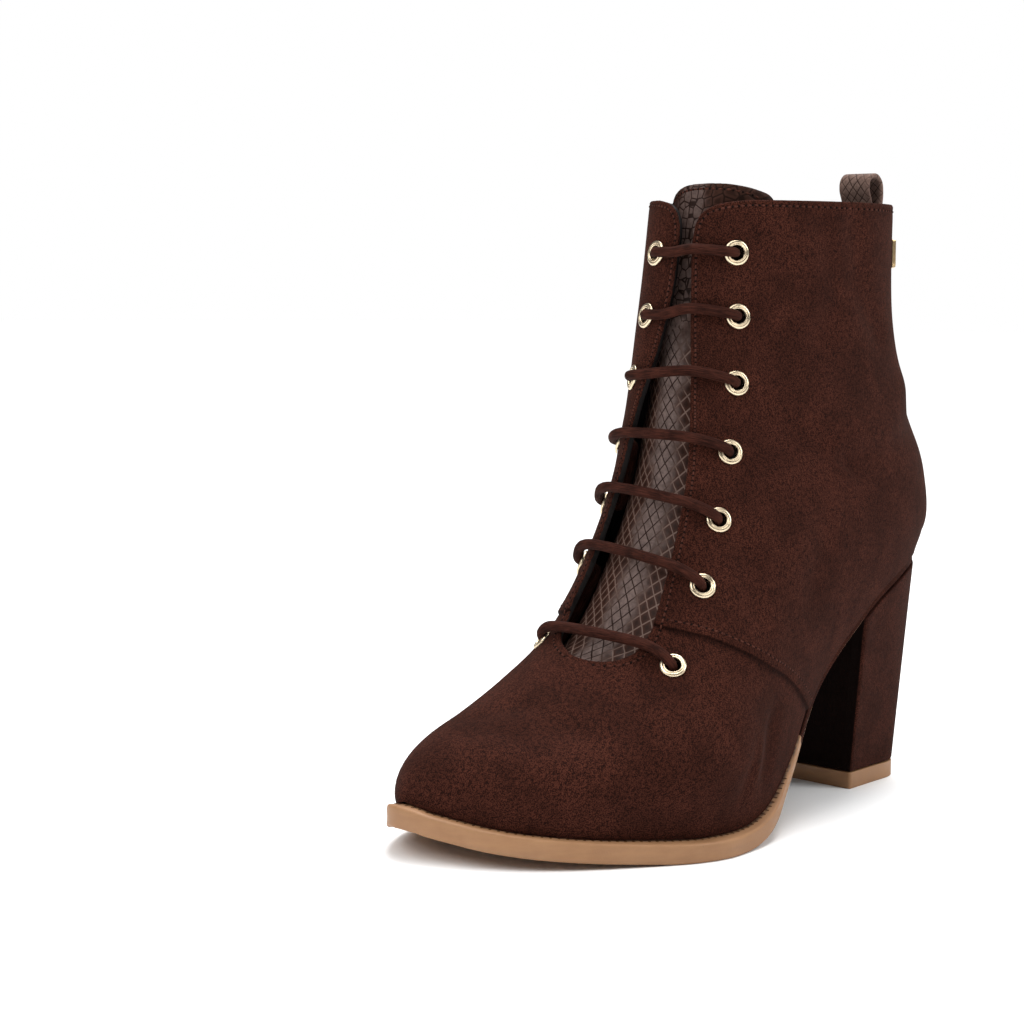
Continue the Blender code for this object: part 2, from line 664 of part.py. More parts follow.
def build_outsole():
    """Outsole with a ledge at the forefoot, toe spring, arch and thin waist."""
    u, pairs = sole_outline()
    top, low = flat_profile(u)
    rings = []
    for i in range(len(u)):
        ring = []
        for k, (line, out, push) in enumerate(pairs):
            edge = line[i] + out[i] * push[i]
            inner = line[i] + out[i] * (push[i] - SOLE_BEVEL)
            if abs(inner[0] - edge[0]) > 1e-9 and i in (0, len(u) - 1):
                inner = edge
            high, deep = top[i] - SOLE_BEVEL, low[i] + SOLE_BEVEL
            half = [(*inner, top[i]), (*edge, high), (*edge, deep), (*inner, low[i])]
            ring += half if k == 0 else half[::-1]
        rings.append(ring)
    return strip_solid("outsole", np.array(rings))


def build_insole():
    """Insole on the outsole, inside the upper."""
    u, pairs = sole_outline()
    u, keep = u[1:-1], slice(1, -1)
    floor = column("base_height", u) + 0.0
    rings = []
    for i in range(len(u)):
        ring = []
        for k, (line, out, _) in enumerate(pairs):
            edge = line[keep][i] - out[keep][i] * INSOLE_INSET
            half = [(*edge, floor[i] + INSOLE_THICK), (*edge, floor[i])]
            ring += half if k == 0 else half[::-1]
        rings.append(ring)
    return strip_solid("insole", np.array(rings))


def heel_rows():
    """Half outlines of the heel's head and foot, breast to back, as (x, along, height) lists."""
    u = np.concatenate([np.linspace(HEEL_BREAST_U, 10.3, 6), [10.55, 10.75, 10.88, 10.95, 10.985, 11.0]])
    low = flat_profile(u)[1] - GAP
    foot = np.array(HEEL_FOOT)
    walk = np.concatenate([[0.0], np.cumsum(np.linalg.norm(np.diff(foot, axis=0), axis=1))])
    heads, feet = [], []
    for side in (1.0, -1.0):
        line = last_point(u, side)[:, :2]
        steps = np.concatenate([[0.0], np.cumsum(np.linalg.norm(np.diff(line, axis=0), axis=1))])
        slope = np.gradient(line, axis=0)
        slope[-1] = (-side, 0.0)
        slope /= np.linalg.norm(slope, axis=1, keepdims=True)
        out = np.stack([-slope[:, 1], slope[:, 0]], 1) * side
        heads.append(np.column_stack([line - out * HEEL_HEAD_INSET, low]))
        share = steps / steps[-1] * walk[-1]
        x = HEEL_CENTRE + side * np.interp(share, walk, foot[:, 0])
        along = np.interp(share, walk, foot[:, 1])
        feet.append(np.column_stack([x, along, np.zeros(len(u))]))
    return heads, feet


def build_heel():
    """Wrapped block and the lift under it."""
    heads, feet = heel_rows()
    rows = len(heads[0])
    rings = []
    for i in range(rows):
        ring = []
        for k in (0, 1):
            foot = feet[k][i] + (0.0, 0.0, LIFT_THICK + GAP)
            wall = [foot * (1 - t) + heads[k][i] * t for t in (0.0, 0.3, 0.65, 1.0)]
            ring += wall[::-1] if k == 0 else wall
        rings.append(ring)
    block = strip_solid("heel", np.array(rings))
    rings = []
    for i in range(rows):
        ring = []
        for k in (0, 1):
            half = [feet[k][i] + (0.0, 0.0, LIFT_THICK), feet[k][i]]
            ring += half if k == 0 else half[::-1]
        rings.append(ring)
    lift = strip_solid("heel_top_lift", np.array(rings))
    return block, lift


def build_loop():
    """Strap bent into a loop over the back of the collar."""
    path = rounded(np.column_stack([np.zeros(len(LOOP_PATH)), LOOP_PATH]))[:, 1:]
    slope = np.gradient(path, axis=0)
    slope /= np.linalg.norm(slope, axis=1, keepdims=True)
    side = np.stack([-slope[:, 1], slope[:, 0]], 1)
    middle = float(column("centre", U_COLLAR))
    rings = []
    for t in range(len(path)):
        near = path[t] - side[t] * LOOP_THICK / 2
        far = path[t] + side[t] * LOOP_THICK / 2
        rings.append([(middle + x, *spot) for spot, x in (
            (far, -LOOP_HALF), (far, LOOP_HALF), (near, LOOP_HALF), (near, -LOOP_HALF))])
    return strip_solid("pull_loop", np.array(rings))


def build_plate():
    """Bare plate following the shaft beside the back seam."""
    low, high = PLATE_STATIONS
    near, far = PLATE_GIRTH
    girth = np.linspace(near, far, 5)
    outline = [(low, v) for v in girth] + [(high, v) for v in girth[::-1]]
    uv, faces = sheet(outline, [], [], 40.0)
    base = QUARTER_STEP + GAP
    return thick_sheet("back_plate", uv, faces, base + PLATE_THICK, base)


def extruded(name, frame, outline, low, high):
    """Prism of an outline (across, up) between two heights over the upper."""
    centre, normal, level, up = frame
    points = []
    for rise in (low, high):
        points += [centre + level * a + up * b + normal * rise for a, b in outline]
    count = len(outline)
    faces = [tuple(range(count - 1, -1, -1)), tuple(range(count, 2 * count))]
    for i in range(count):
        j = (i + 1) % count
        faces.append((i, j, count + j, count + i))
    return mesh_object(name, place(points), faces)


def joined(target, others):
    """Join solids into the first by an exact union."""
    for other in others:
        change = target.modifiers.new("join", "BOOLEAN")
        change.operation = "UNION"
        change.solver = "EXACT"
        change.object = other
        with bpy.context.temp_override(object=target, active_object=target):
            bpy.ops.object.modifier_apply(modifier=change.name)
        bpy.data.objects.remove(other)
    return target


def build_zip():
    """Tape, chain, slider with its bridge, and the hanging pull tab."""
    face = -WALL - ZIP_TAPE_GAP
    build_strip("zip_tape", ZIP_HALF_TAPE, 201.5, 76.5, face, face - ZIP_TAPE_THICK)
    build_strip("zip_chain", ZIP_HALF_CHAIN, 201.0, 84.0, face + GAP + ZIP_CHAIN_THICK, face + GAP)
    spot = zip_edge(0.0, (SLIDER_HEIGHT,))[0]
    frame = frame_at(*spot)
    base = face + GAP + ZIP_CHAIN_THICK + GAP
    body = extruded("zip_slider", frame, SLIDER_OUTLINE, base, base + SLIDER_THICK)
    half = BRIDGE_HALF
    bars = []
    for middle in (-BRIDGE_LEG, BRIDGE_LEG):
        leg = ((-half, middle - half), (half, middle - half), (half, middle + half), (-half, middle + half))
        bars.append(extruded("leg", frame, leg, base + 0.5 * SLIDER_THICK, base + BRIDGE_LOW + half))
    end = BRIDGE_LEG + half
    top = ((-half, -end), (half, -end), (half, end), (-half, end))
    bars.append(extruded("bridge", frame, top, base + BRIDGE_LOW, base + BRIDGE_HIGH))
    joined(body, bars)
    return frame, base


def build_pull(frame, base):
    """Pull tab: a crossbar under the bridge, two arms past its leg and a long blade."""
    low, high = base + PULL_RISE - PULL_THICK / 2, base + PULL_RISE + PULL_THICK / 2
    half, bar = PULL_HALF, PULL_THICK / 2
    foot = -PULL_LENGTH
    narrow = half - PULL_CORNER[0]
    above = foot + PULL_CORNER[1]
    outer = ((-half, bar), (-half, above), (-narrow, foot), (narrow, foot), (half, above), (half, bar))
    blade = extruded("zip_pull", frame, outer, low, high)
    inner = PULL_HALF - PULL_THICK
    gap = ((-inner, -PULL_ARM), (inner, -PULL_ARM), (inner, -bar), (-inner, -bar))
    window = extruded("window", frame, gap, low - PULL_THICK, high + PULL_THICK)
    change = blade.modifiers.new("window", "BOOLEAN")
    change.operation = "DIFFERENCE"
    change.solver = "EXACT"
    change.object = window
    with bpy.context.temp_override(object=blade, active_object=blade):
        bpy.ops.object.modifier_apply(modifier=change.name)
    bpy.data.objects.remove(window)
    pivot = Vector(place(frame[0] + frame[1] * (base + PULL_RISE)))
    blade.data.transform(Matrix.Translation(-pivot))
    blade.location = pivot
    return blade


def main():
    """Make the whole boot."""
    for thing in list(bpy.data.objects):
        bpy.data.objects.remove(thing)
    places = eyelet_places()
    build_upper(places)
    build_tongue()
    build_lace(places)
    build_eyelets(places)
    build_outsole()
    build_insole()
    build_heel()
    build_loop()
    build_plate()
    frame, base = build_zip()
    build_pull(frame, base)
    nodes = list(bpy.context.scene.objects)
    boot = put("boot", None)
    for node in nodes:
        node.parent = boot
        if not node.data.materials:
            node.data.materials.append(finish(node.name))


main()
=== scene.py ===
"""Looks of a left ankle boot with bar lacing, a side zip and a block heel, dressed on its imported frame.

Tables hold millimetres of the last: x out to the wearer's left, "along" from the heel to the toe, and height
over the floor. Meshes are in metres in the frame's own axes: toe to -Y, wearer's left to +X, up +Z.
"""

import logging
from dataclasses import dataclass, field
from enum import Enum
from math import ceil, cos, pi, radians, sin

import bmesh
import bpy
import numpy as np
from mathutils import Matrix, Vector, kdtree
from mathutils.geometry import delaunay_2d_cdt


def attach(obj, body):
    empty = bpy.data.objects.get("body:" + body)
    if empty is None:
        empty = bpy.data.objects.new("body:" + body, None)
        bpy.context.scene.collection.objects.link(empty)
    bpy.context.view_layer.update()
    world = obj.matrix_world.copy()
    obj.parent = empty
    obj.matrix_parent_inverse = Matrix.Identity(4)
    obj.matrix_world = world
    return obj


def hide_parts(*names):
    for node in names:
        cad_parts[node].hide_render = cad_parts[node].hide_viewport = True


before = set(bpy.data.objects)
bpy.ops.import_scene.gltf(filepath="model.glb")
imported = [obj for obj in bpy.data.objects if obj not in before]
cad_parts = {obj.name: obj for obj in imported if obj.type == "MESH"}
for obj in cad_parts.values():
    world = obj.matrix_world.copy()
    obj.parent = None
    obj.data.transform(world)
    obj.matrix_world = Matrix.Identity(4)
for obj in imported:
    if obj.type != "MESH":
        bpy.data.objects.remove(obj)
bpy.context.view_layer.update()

LOG = logging.getLogger("boot")
Array = np.ndarray
Colour = tuple[float, float, float]
MM = 0.001
ORIGIN_X = 9.66
ORIGIN_ALONG = 110.8
SURFACE = "surface"
# Point attribute for painted shade: the shadow line at the vamp seam, and shade mixed with dirt along the
# upper's edge on the sole.
SHADE_AND_DIRT = "dirt"
# Share of its inset that a row beside a bent edge keeps clear of it
CLEAR = 0.93


class Side(Enum):
    """Sides of the boot, with the sign of the girth on each."""

    LATERAL = 1.0
    MEDIAL = -1.0


class Face(Enum):
    """Which face of a thick sheet a polygon belongs to, with its material number."""

    OUTER = 0
    INNER = 1
    RIM = 2


# Small tools for points and meshes


def place(points: Array) -> Array:
    """Sizes of the last (x, along, height) in millimetres to the frame in metres."""
    x, along, height = np.moveaxis(np.asarray(points, float), -1, 0)
    return np.stack([x - ORIGIN_X, ORIGIN_ALONG - along, height], -1) * MM


def table(rows: tuple, at: Array, pick: int = 1) -> Array:
    """Value of a short table's column at places in its first column."""
    return np.interp(at, [row[0] for row in rows], [row[pick] for row in rows])


def smooth_rows(rows: Array, per_span: int = 10) -> Array:
    """Curve through the rows of a table.

    Args:
        rows: one point or table row each.
        per_span: steps between two rows.

    Returns:
        The rows of the curve, ends included.
    """
    rows = np.asarray(rows, float)
    padded = np.concatenate([[2 * rows[0] - rows[1]], rows, [2 * rows[-1] - rows[-2]]])
    t = np.linspace(0.0, 1.0, per_span, endpoint=False)[:, None]
    spans = []
    for k in range(len(rows) - 1):
        a, b, c, d = padded[k:k + 4]
        cubic = (3 * b - a - 3 * c + d) * t + (2 * a - 5 * b + 4 * c - d)
        spans.append(b + 0.5 * t * ((c - a) + t * cubic))
    return np.concatenate(spans + [rows[-1:]])


def walked(points: Array) -> Array:
    """Distance walked along a polyline up to each of its points."""
    return np.concatenate([[0.0], np.cumsum(np.linalg.norm(np.diff(points, axis=0), axis=1))])


def picked(points: Array, walk: Array, at: Array) -> Array:
    """Points of a polyline at distances walked along it."""
    return np.stack([np.interp(at, walk, points[:, k]) for k in range(points.shape[1])], 1)


def resample(points: Array, step: float) -> Array:
    """The same polyline with even steps, ends kept."""
    points = np.asarray(points, float)
    walk = walked(points)
    return picked(points, walk, np.linspace(0.0, walk[-1], max(2, ceil(walk[-1] / step) + 1)))


def unit(vectors: Array) -> Array:
    """Vectors of length one."""
    return vectors / np.maximum(np.linalg.norm(vectors, axis=-1, keepdims=True), 1e-12)


def left_of(line: Array) -> Array:
    """Unit directions to the left of a flat line, at its points."""
    slope = unit(np.gradient(line, axis=0))
    return np.stack([-slope[:, 1], slope[:, 0]], 1)


def rounded(distance: Array, radius: float) -> tuple:
    """Nearness to an edge, 0 at the radius and 1 on it, and how far its round falls there."""
    near = np.clip(1.0 - distance / radius, 0.0, 1.0)
    return near, radius * (1.0 - np.sqrt(np.maximum(1.0 - near ** 2, 0.0)))


def shade(colour: Colour, share: float) -> Colour:
    """A share of a colour."""
    return tuple(share * c for c in colour)


def new_object(name: str, data: bpy.types.ID) -> bpy.types.Object:
    """New object in the scene, at the origin."""
    item = bpy.data.objects.new(name, data)
    bpy.context.scene.collection.objects.link(item)
    return item


def deselect_all() -> None:
    """Leave no object selected, so that an operator takes only the piece at hand."""
    if bpy.context.object and bpy.context.object.mode != "OBJECT":
        bpy.ops.object.mode_set(mode="OBJECT")
    bpy.ops.object.select_all(action="DESELECT")


def take(piece: bpy.types.Object) -> None:
    """Select one piece alone and make it the active one."""
    deselect_all()
    piece.select_set(True)
    bpy.context.view_layer.objects.active = piece


def apply_modifier(piece: bpy.types.Object, kind: str, **settings: object) -> None:
    """Add a modifier, set it and apply it.

    Args:
        piece: object to change.
        kind: modifier type.
        settings: its properties by name.
    """
    take(piece)
    modifier = piece.modifiers.new(kind.title(), kind)
    for key, value in settings.items():
        setattr(modifier, key, value)
    bpy.ops.object.modifier_apply(modifier=modifier.name)


def smooth(piece: bpy.types.Object, angle: float = 40.0) -> None:
    """Shade a piece smooth up to an angle in degrees."""
    take(piece)
    bpy.ops.object.shade_smooth_by_angle(angle=radians(angle))


def close_up(piece: bpy.types.Object, gap: float = 0.01) -> None:
    """Merge doubles within a gap in millimetres and turn the faces outwards."""
    net = bmesh.new()
    net.from_mesh(piece.data)
    bmesh.ops.remove_doubles(net, verts=net.verts, dist=gap * MM)
    bmesh.ops.dissolve_degenerate(net, edges=net.edges, dist=1e-7)
    bmesh.ops.recalc_face_normals(net, faces=net.faces)
    net.to_mesh(piece.data)
    net.free()


def round_edges(piece: bpy.types.Object, upright: float, level: float, angle: float = 48.0) -> None:
    """Round the sharp edges of a piece, by one size for upright edges and another for level ones.

    Args:
        piece: piece with shared corners.
        upright: width of the round on upright edges, in millimetres.
        level: width on the others.
        angle: least angle between two faces of a sharp edge, in degrees.
    """
    net = bmesh.new()
    net.from_mesh(piece.data)
    weight = net.edges.layers.float.new("bevel_weight_edge")
    for edge in net.edges:
        if edge.is_manifold and edge.calc_face_angle() > radians(angle):
            way = edge.verts[0].co - edge.verts[1].co
            edge[weight] = 1.0 if abs(way.z) > 0.6 * way.length else level / upright
    net.to_mesh(piece.data)
    net.free()
    apply_modifier(piece, "BEVEL", width=upright * MM, segments=4, limit_method="WEIGHT")


def mesh_piece(name: str, points: Array, faces: list, uv: Array | None = None) -> bpy.types.Object:
    """New piece from points in the frame.

    Args:
        name: its name.
        points: corners in metres.
        faces: corner numbers of each face.
        uv: place on the surface's own map for each corner, in metres.

    Returns:
        The object, with its place in its mesh.
    """
    mesh = bpy.data.meshes.new(name)
    mesh.from_pydata(np.asarray(points).tolist(), [], [tuple(int(i) for i in face) for face in faces])
    if uv is not None:
        layer = mesh.uv_layers.new(name=SURFACE)
        corners = np.empty(len(mesh.loops), int)
        mesh.loops.foreach_get("vertex_index", corners)
        layer.data.foreach_set("uv", np.asarray(uv, float)[corners].ravel())
    return new_object(name, mesh)


def tube_faces(rows: int, count: int) -> list:
    """Faces of a tube through rings of equal size, with both ends closed."""
    faces = []
    for row in range(rows - 1):
        for i in range(count):
            j = (i + 1) % count
            faces.append((row * count + i, row * count + j, (row + 1) * count + j, (row + 1) * count + i))
    return faces + [tuple(range(count - 1, -1, -1)), tuple(range((rows - 1) * count, rows * count))]


def loft(name: str, rings: Array, uv: Array | None = None) -> bpy.types.Object:
    """Closed skin over rings of equal size.

    Args:
        name: piece name.
        rings: corners by ring, (rows, count, 3), in millimetres of the last.
        uv: (rows, count, 2) places on the surface map, in metres.

    Returns:
        The piece, merged and with its faces outwards.
    """
    flat = None if uv is None else uv.reshape(-1, 2)
    piece = mesh_piece(name, place(rings.reshape(-1, 3)), tube_faces(*rings.shape[:2]), flat)
    close_up(piece)
    return piece


def dress(piece: bpy.types.Object, finishes: list, slot: str, *nodes: str, body: str = "boot") -> None:
    """Give a piece its finishes and say what it rides on and stands for.

    Args:
        piece: the new piece.
        finishes: finish of each material number.
        slot: the record's material slot; not used.
        nodes: CAD nodes that it stands for.
        body: CAD body that it rides on.
    """
    for finish in finishes:
        piece.data.materials.append(finish.material())
    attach(piece, body)
    if nodes:
        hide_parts(*nodes)
    LOG.info("%s: %d faces on %s", piece.name, len(piece.data.polygons), body)


def capsules(spots: Array, ways: Array, outs: Array, length: float, width: float, height: float) -> tuple:
    """Many small rounded bars, for stitches and marks.

    Args:
        spots: middles in millimetres of the last.
        ways: unit direction of each bar.
        outs: unit direction away from the surface.
        length: whole length of a bar.
        width: its width on the surface.
        height: its thickness.

    Returns:
        Points in millimetres of the last and faces.
    """
    stops = np.array([-0.5, -0.42, -0.2, 0.2, 0.42, 0.5])
    swell = np.array([0.25, 0.72, 1.0, 1.0, 0.72, 0.25])
    drop = np.array([-0.75, -0.25, 0.0, 0.0, -0.25, -0.75])
    turns = np.linspace(0.0, 2 * pi, 6, endpoint=False)
    sides = np.cross(outs, ways)
    rings = len(stops)
    count = len(turns)
    points = np.empty((len(spots), rings, count, 3))
    for k in range(rings):
        for i, turn in enumerate(turns):
            points[:, k, i] = (
                spots + ways * (stops[k] * length) + sides * (0.5 * width * swell[k] * cos(turn))
                + outs * (0.5 * height * swell[k] * sin(turn) + drop[k] * 0.5 * height)
            )
    one = tube_faces(rings, count)
    faces = [tuple(c + n * rings * count for c in face) for n in range(len(spots)) for face in one]
    return points.reshape(-1, 3), faces


# Finishes


class Graph:
    """Lays nodes into one material."""

    def __init__(self, name: str) -> None:
        """Start a material with its shader."""
        self.material = bpy.data.materials.new(name)
        self.material.use_nodes = True
        self.tree = self.material.node_tree
        self.shader = self.tree.nodes["Principled BSDF"]

    def feed(self, socket: bpy.types.NodeSocket, value: object) -> None:
        """Link a socket or set its value."""
        if isinstance(value, bpy.types.NodeSocket):
            self.tree.links.new(value, socket)
        elif isinstance(value, tuple) and len(value) == 3 and socket.type == "RGBA":
            socket.default_value = (*value, 1.0)
        else:
            socket.default_value = value

    def add(self, kind: str, inputs: dict | None = None, **settings: object) -> bpy.types.Node:
        """New node.

        Args:
            kind: node type without its ShaderNode prefix.
            inputs: sockets by name or number.
            settings: node properties.

        Returns:
            The node.
        """
        node = self.tree.nodes.new("ShaderNode" + kind)
        for key, value in settings.items():
            setattr(node, key, value)
        for key, value in (inputs or {}).items():
            self.feed(node.inputs[key], value)
        return node

    def place(self) -> bpy.types.NodeSocket:
        """Place in the frame, in metres."""
        return self.add("TexCoord").outputs["Object"]

    def surface(self) -> bpy.types.NodeSocket:
        """Place on the piece's own surface map, in metres."""
        return self.add("UVMap", uv_map=SURFACE).outputs["UV"]

    def turned(self, vector: bpy.types.NodeSocket, scale: Colour, angle: float = 0.0) -> bpy.types.NodeSocket:
        """A vector scaled and turned about Z by an angle in degrees."""
        inputs = {"Vector": vector, "Scale": scale, "Rotation": (0.0, 0.0, radians(angle))}
        return self.add("Mapping", inputs).outputs["Vector"]

    def noise(self, vector: bpy.types.NodeSocket, size: float, detail: float = 2.0, rough: float = 0.5,
              twist: float = 0.0) -> bpy.types.NodeSocket:
        """Noise with features of a size in millimetres."""
        inputs = {"Vector": vector, "Scale": 1.0 / (size * MM), "Detail": detail, "Roughness": rough,
                  "Distortion": twist}
        return self.add("TexNoise", inputs).outputs[0]

    def math(self, operation: str, first: object, second: object = 0.0) -> bpy.types.NodeSocket:
        """One sum of two values."""
        return self.add("Math", {0: first, 1: second}, operation=operation).outputs[0]

    def blend(self, *parts: tuple) -> bpy.types.NodeSocket:
        """Sum of values, each times its share."""
        total = None
        for value, share in parts:
            part = self.math("MULTIPLY", value, share)
            total = part if total is None else self.math("ADD", total, part)
        return total

    def rest(self, value: object) -> bpy.types.NodeSocket:
        """What is left of one."""
        return self.math("SUBTRACT", 1.0, value)

    def sway(self, value: object, width: float) -> bpy.types.NodeSocket:
        """A noise's value as a shift to both sides, in metres."""
        return self.math("MULTIPLY", self.math("SUBTRACT", value, 0.5), width)

    def dirt(self) -> bpy.types.NodeSocket:
        """Share of painted shade, mixed with dirt on the gum, marked at the piece's points."""
        return self.add("Attribute", attribute_name=SHADE_AND_DIRT).outputs["Fac"]

    def ramp(self, value: object, low: float, high: float, start: float = 0.0,
             end: float = 1.0) -> bpy.types.NodeSocket:
        """Soft step of a value from start at low to end at high."""
        inputs = {"Value": value, "From Min": low, "From Max": high, "To Min": start, "To Max": end}
        return self.add("MapRange", inputs, interpolation_type="SMOOTHSTEP").outputs["Result"]

    def mix(self, share: object, first: object, second: object) -> bpy.types.NodeSocket:
        """Colour between two colours."""
        node = self.add("Mix", data_type="RGBA")
        self.feed(node.inputs[0], share)
        self.feed(node.inputs[6], first)
        self.feed(node.inputs[7], second)
        return node.outputs[2]

    def clouded(self, value: object, colour: Colour, share: float) -> bpy.types.NodeSocket:
        """A colour that falls to a share of itself where a noise's value is low."""
        return self.mix(self.ramp(value, 0.3, 0.7), shade(colour, share), colour)

    def split(self, vector: bpy.types.NodeSocket) -> tuple:
        """X and Y of a vector."""
        node = self.add("SeparateXYZ", {0: vector})
        return node.outputs[0], node.outputs[1]

    def bump(self, height: object, depth: float, strength: float = 1.0, normal: object = None) -> object:
        """Relief of a depth in millimetres, over an earlier one if given."""
        inputs = {"Height": height, "Distance": depth * MM, "Strength": strength}
        if normal is not None:
            inputs["Normal"] = normal
        return self.add("Bump", inputs).outputs["Normal"]

    def done(self, **sockets: object) -> bpy.types.Material:
        """Feed the shader's sockets, named with _ for a space.

        Args:
            sockets: value or socket of each.

        Returns:
            The finished material.
        """
        for key, value in sockets.items():
            self.feed(self.shader.inputs[key.replace("_", " ")], value)
        return self.material


@dataclass(frozen=True)
class Finish:
    """A finish with a name; each kind lays its own nodes."""

    name: str

    def material(self) -> bpy.types.Material:
        """The material, made at its first use."""
        if self.name in bpy.data.materials:
            return bpy.data.materials[self.name]
        return self.lay(Graph(self.name))

    def lay(self, graph: Graph) -> bpy.types.Material:
        """Lay the nodes of a plain finish."""
        return graph.done()


@dataclass(frozen=True)
class Suede(Finish):
    """Napped leather: brushed clouds, specks, a short wavy grain, and painted shade where its points are
    marked.
    """

    dark: Colour
    light: Colour
    cloud: float = 16.0
    speck: float = 0.32
    grain: float = 0.70
    relief: float = 0.22

    def lay(self, graph: Graph) -> bpy.types.Material:
        """Lay the nodes of the suede."""
        spot = graph.place()
        flat = graph.surface()
        cloud = graph.noise(spot, self.cloud, 3.0, 0.55, 0.5)
        brush = graph.noise(graph.turned(flat, (1.0, 0.45, 1.0), 35.0), 4.0, 2.0, 0.5, 0.5)
        speck = graph.noise(spot, self.speck, 1.0, 0.5)
        grain = graph.noise(graph.turned(flat, (1.0, 0.5, 1.0), 48.0), self.grain, 2.0, 0.5, 0.6)
        tone = graph.blend((brush, 0.06), (speck, 0.64), (grain, 0.30))
        colour = graph.mix(graph.ramp(tone, 0.405, 0.595), self.dark, self.light)
        patch = graph.ramp(cloud, 0.30, 0.68)
        colour = graph.mix(graph.math("MULTIPLY", graph.rest(patch), 0.42), colour, self.dark)
        # Painted shadow line where the quarter's edge steps over the vamp, marked at the points
        colour = graph.mix(graph.dirt(), colour, shade(self.dark, 0.35))
        low = graph.bump(cloud, 0.5, 0.35)
        mid = graph.bump(grain, self.relief, 0.7, low)
        fine = graph.bump(speck, 0.1, 0.6, mid)
        rough = graph.ramp(speck, 0.3, 0.7, 0.86, 0.98)
        return graph.done(Base_Color=colour, Roughness=rough, Normal=fine, Specular_IOR_Level=0.05,
                          Sheen_Weight=0.02, Sheen_Roughness=0.5, Sheen_Tint=(0.6, 0.3, 0.22))


@dataclass(frozen=True)
class ScaledLeather(Finish):
    """Leather embossed in diamond scales, with a pale painted sheen down its middle and brown at its sides.
    """

    pale: Colour
    brown: Colour
    line_dark: Colour
    line_pale: Colour
    across: float = 4.6
    along: float = 5.2
    # Middle and half width of the pale band that paints a sheen, in millimetres across
    middle: float = 3.0
    sheen_band: float = 8.0
    top: float = 999.0
    loose: float = 3.3

    def lay(self, graph: Graph) -> bpy.types.Material:
        """Lay the nodes of the scales: even diamonds, and loose ones above the top."""
        flat = graph.surface()
        spot = graph.place()
        out, run = graph.split(flat)
        wander = graph.sway(graph.noise(flat, 6.0, 2.0), 0.0009)
        x = graph.math("DIVIDE", graph.math("ADD", out, wander), self.across * MM)
        y = graph.math("DIVIDE", graph.math("ADD", run, wander), self.along * MM)
        lines = None
        for operation in ("ADD", "SUBTRACT"):
            wave = graph.math("FRACT", graph.math(operation, x, y))
            near = graph.math("SUBTRACT", 0.5, graph.math("ABSOLUTE", graph.math("SUBTRACT", wave, 0.5)))
            lines = near if lines is None else graph.math("MINIMUM", lines, near)
        inputs = {"Vector": flat, "Scale": 1.0 / (self.loose * MM), "Randomness": 0.6}
        loose = graph.add("TexVoronoi", inputs, feature="DISTANCE_TO_EDGE").outputs["Distance"]
        high = graph.ramp(run, (self.top - 5.0) * MM, (self.top + 5.0) * MM)
        lines = graph.blend((lines, graph.rest(high)), (graph.math("MULTIPLY", loose, 1.1), high))
        line = graph.ramp(lines, 0.035, 0.095, 1.0, 0.0)
        ring = graph.ramp(lines, 0.16, 0.40)
        # Pale painted sheen down the middle with dark lines, brown cells with pale lines at the sides
        shift = graph.sway(graph.noise(flat, 9.0, 3.0, 0.6), 0.014)
        offset = graph.math("ADD", graph.math("SUBTRACT", out, self.middle * MM), shift)
        edge = graph.ramp(graph.math("ABSOLUTE", offset), (self.sheen_band - 4.0) * MM, (self.sheen_band + 4.0) * MM)
        edge = graph.math("MAXIMUM", edge, graph.math("MULTIPLY", high, 0.45))
        plain = graph.math("MULTIPLY", edge, graph.rest(high))
        mottle = graph.noise(spot, 1.6, 4.0, 0.65)
        cell_brown = graph.mix(ring, shade(self.brown, 1.7), self.brown)
        cell = graph.mix(edge, graph.clouded(mottle, self.pale, 0.6), cell_brown)
        groove = graph.mix(plain, self.line_dark, self.line_pale)
        colour = graph.mix(line, cell, groove)
        relief = graph.bump(graph.ramp(lines, 0.02, 0.18), 0.16, 0.5)
        grain = graph.bump(graph.noise(spot, 0.45, 3.0, 0.6), 0.06, 0.5, relief)
        rough = graph.ramp(mottle, 0.25, 0.75, 0.34, 0.52)
        return graph.done(Base_Color=colour, Roughness=rough, Normal=grain, Specular_IOR_Level=0.05)


@dataclass(frozen=True)
class Gum(Finish):
    """Tan stacked sole material with faint clouds, fine pores and rubbed marks, and painted shade mixed with
    dirt along the upper's edge.
    """

    tan: Colour
    deep: Colour
    # Colour of the painted shade and dirt along the upper's edge
    shade_and_soil: Colour = (0.045, 0.021, 0.012)

    def lay(self, graph: Graph) -> bpy.types.Material:
        """Lay the nodes of the gum."""
        spot = graph.place()
        cloud = graph.noise(spot, 12.0, 4.0, 0.6)
        pores = graph.noise(spot, 0.6, 3.0, 0.6)
        smear = graph.noise(graph.turned(spot, (0.25, 0.25, 1.6)), 4.0, 3.0, 0.6)
        tone = graph.blend((cloud, 0.5), (smear, 0.5))
        colour = graph.mix(graph.ramp(tone, 0.34, 0.66), self.deep, self.tan)
        scuff = graph.ramp(graph.noise(spot, 3.0, 5.0, 0.7), 0.62, 0.74)
        colour = graph.mix(graph.math("MULTIPLY", scuff, 0.35), colour, shade(self.deep, 0.62))
        # Painted shade with rubbed dirt along the upper's edge on the ledge
        rubbed = graph.ramp(graph.noise(spot, 2.2, 3.0, 0.6), 0.36, 0.6, 0.25, 1.0)
        colour = graph.mix(graph.math("MULTIPLY", graph.dirt(), rubbed), colour, self.shade_and_soil)
        normal = graph.bump(pores, 0.08, 0.5, graph.bump(smear, 0.15, 0.3))
        rough = graph.ramp(smear, 0.3, 0.7, 0.48, 0.66)
        return graph.done(Base_Color=colour, Roughness=rough, Normal=normal, Specular_IOR_Level=0.4)


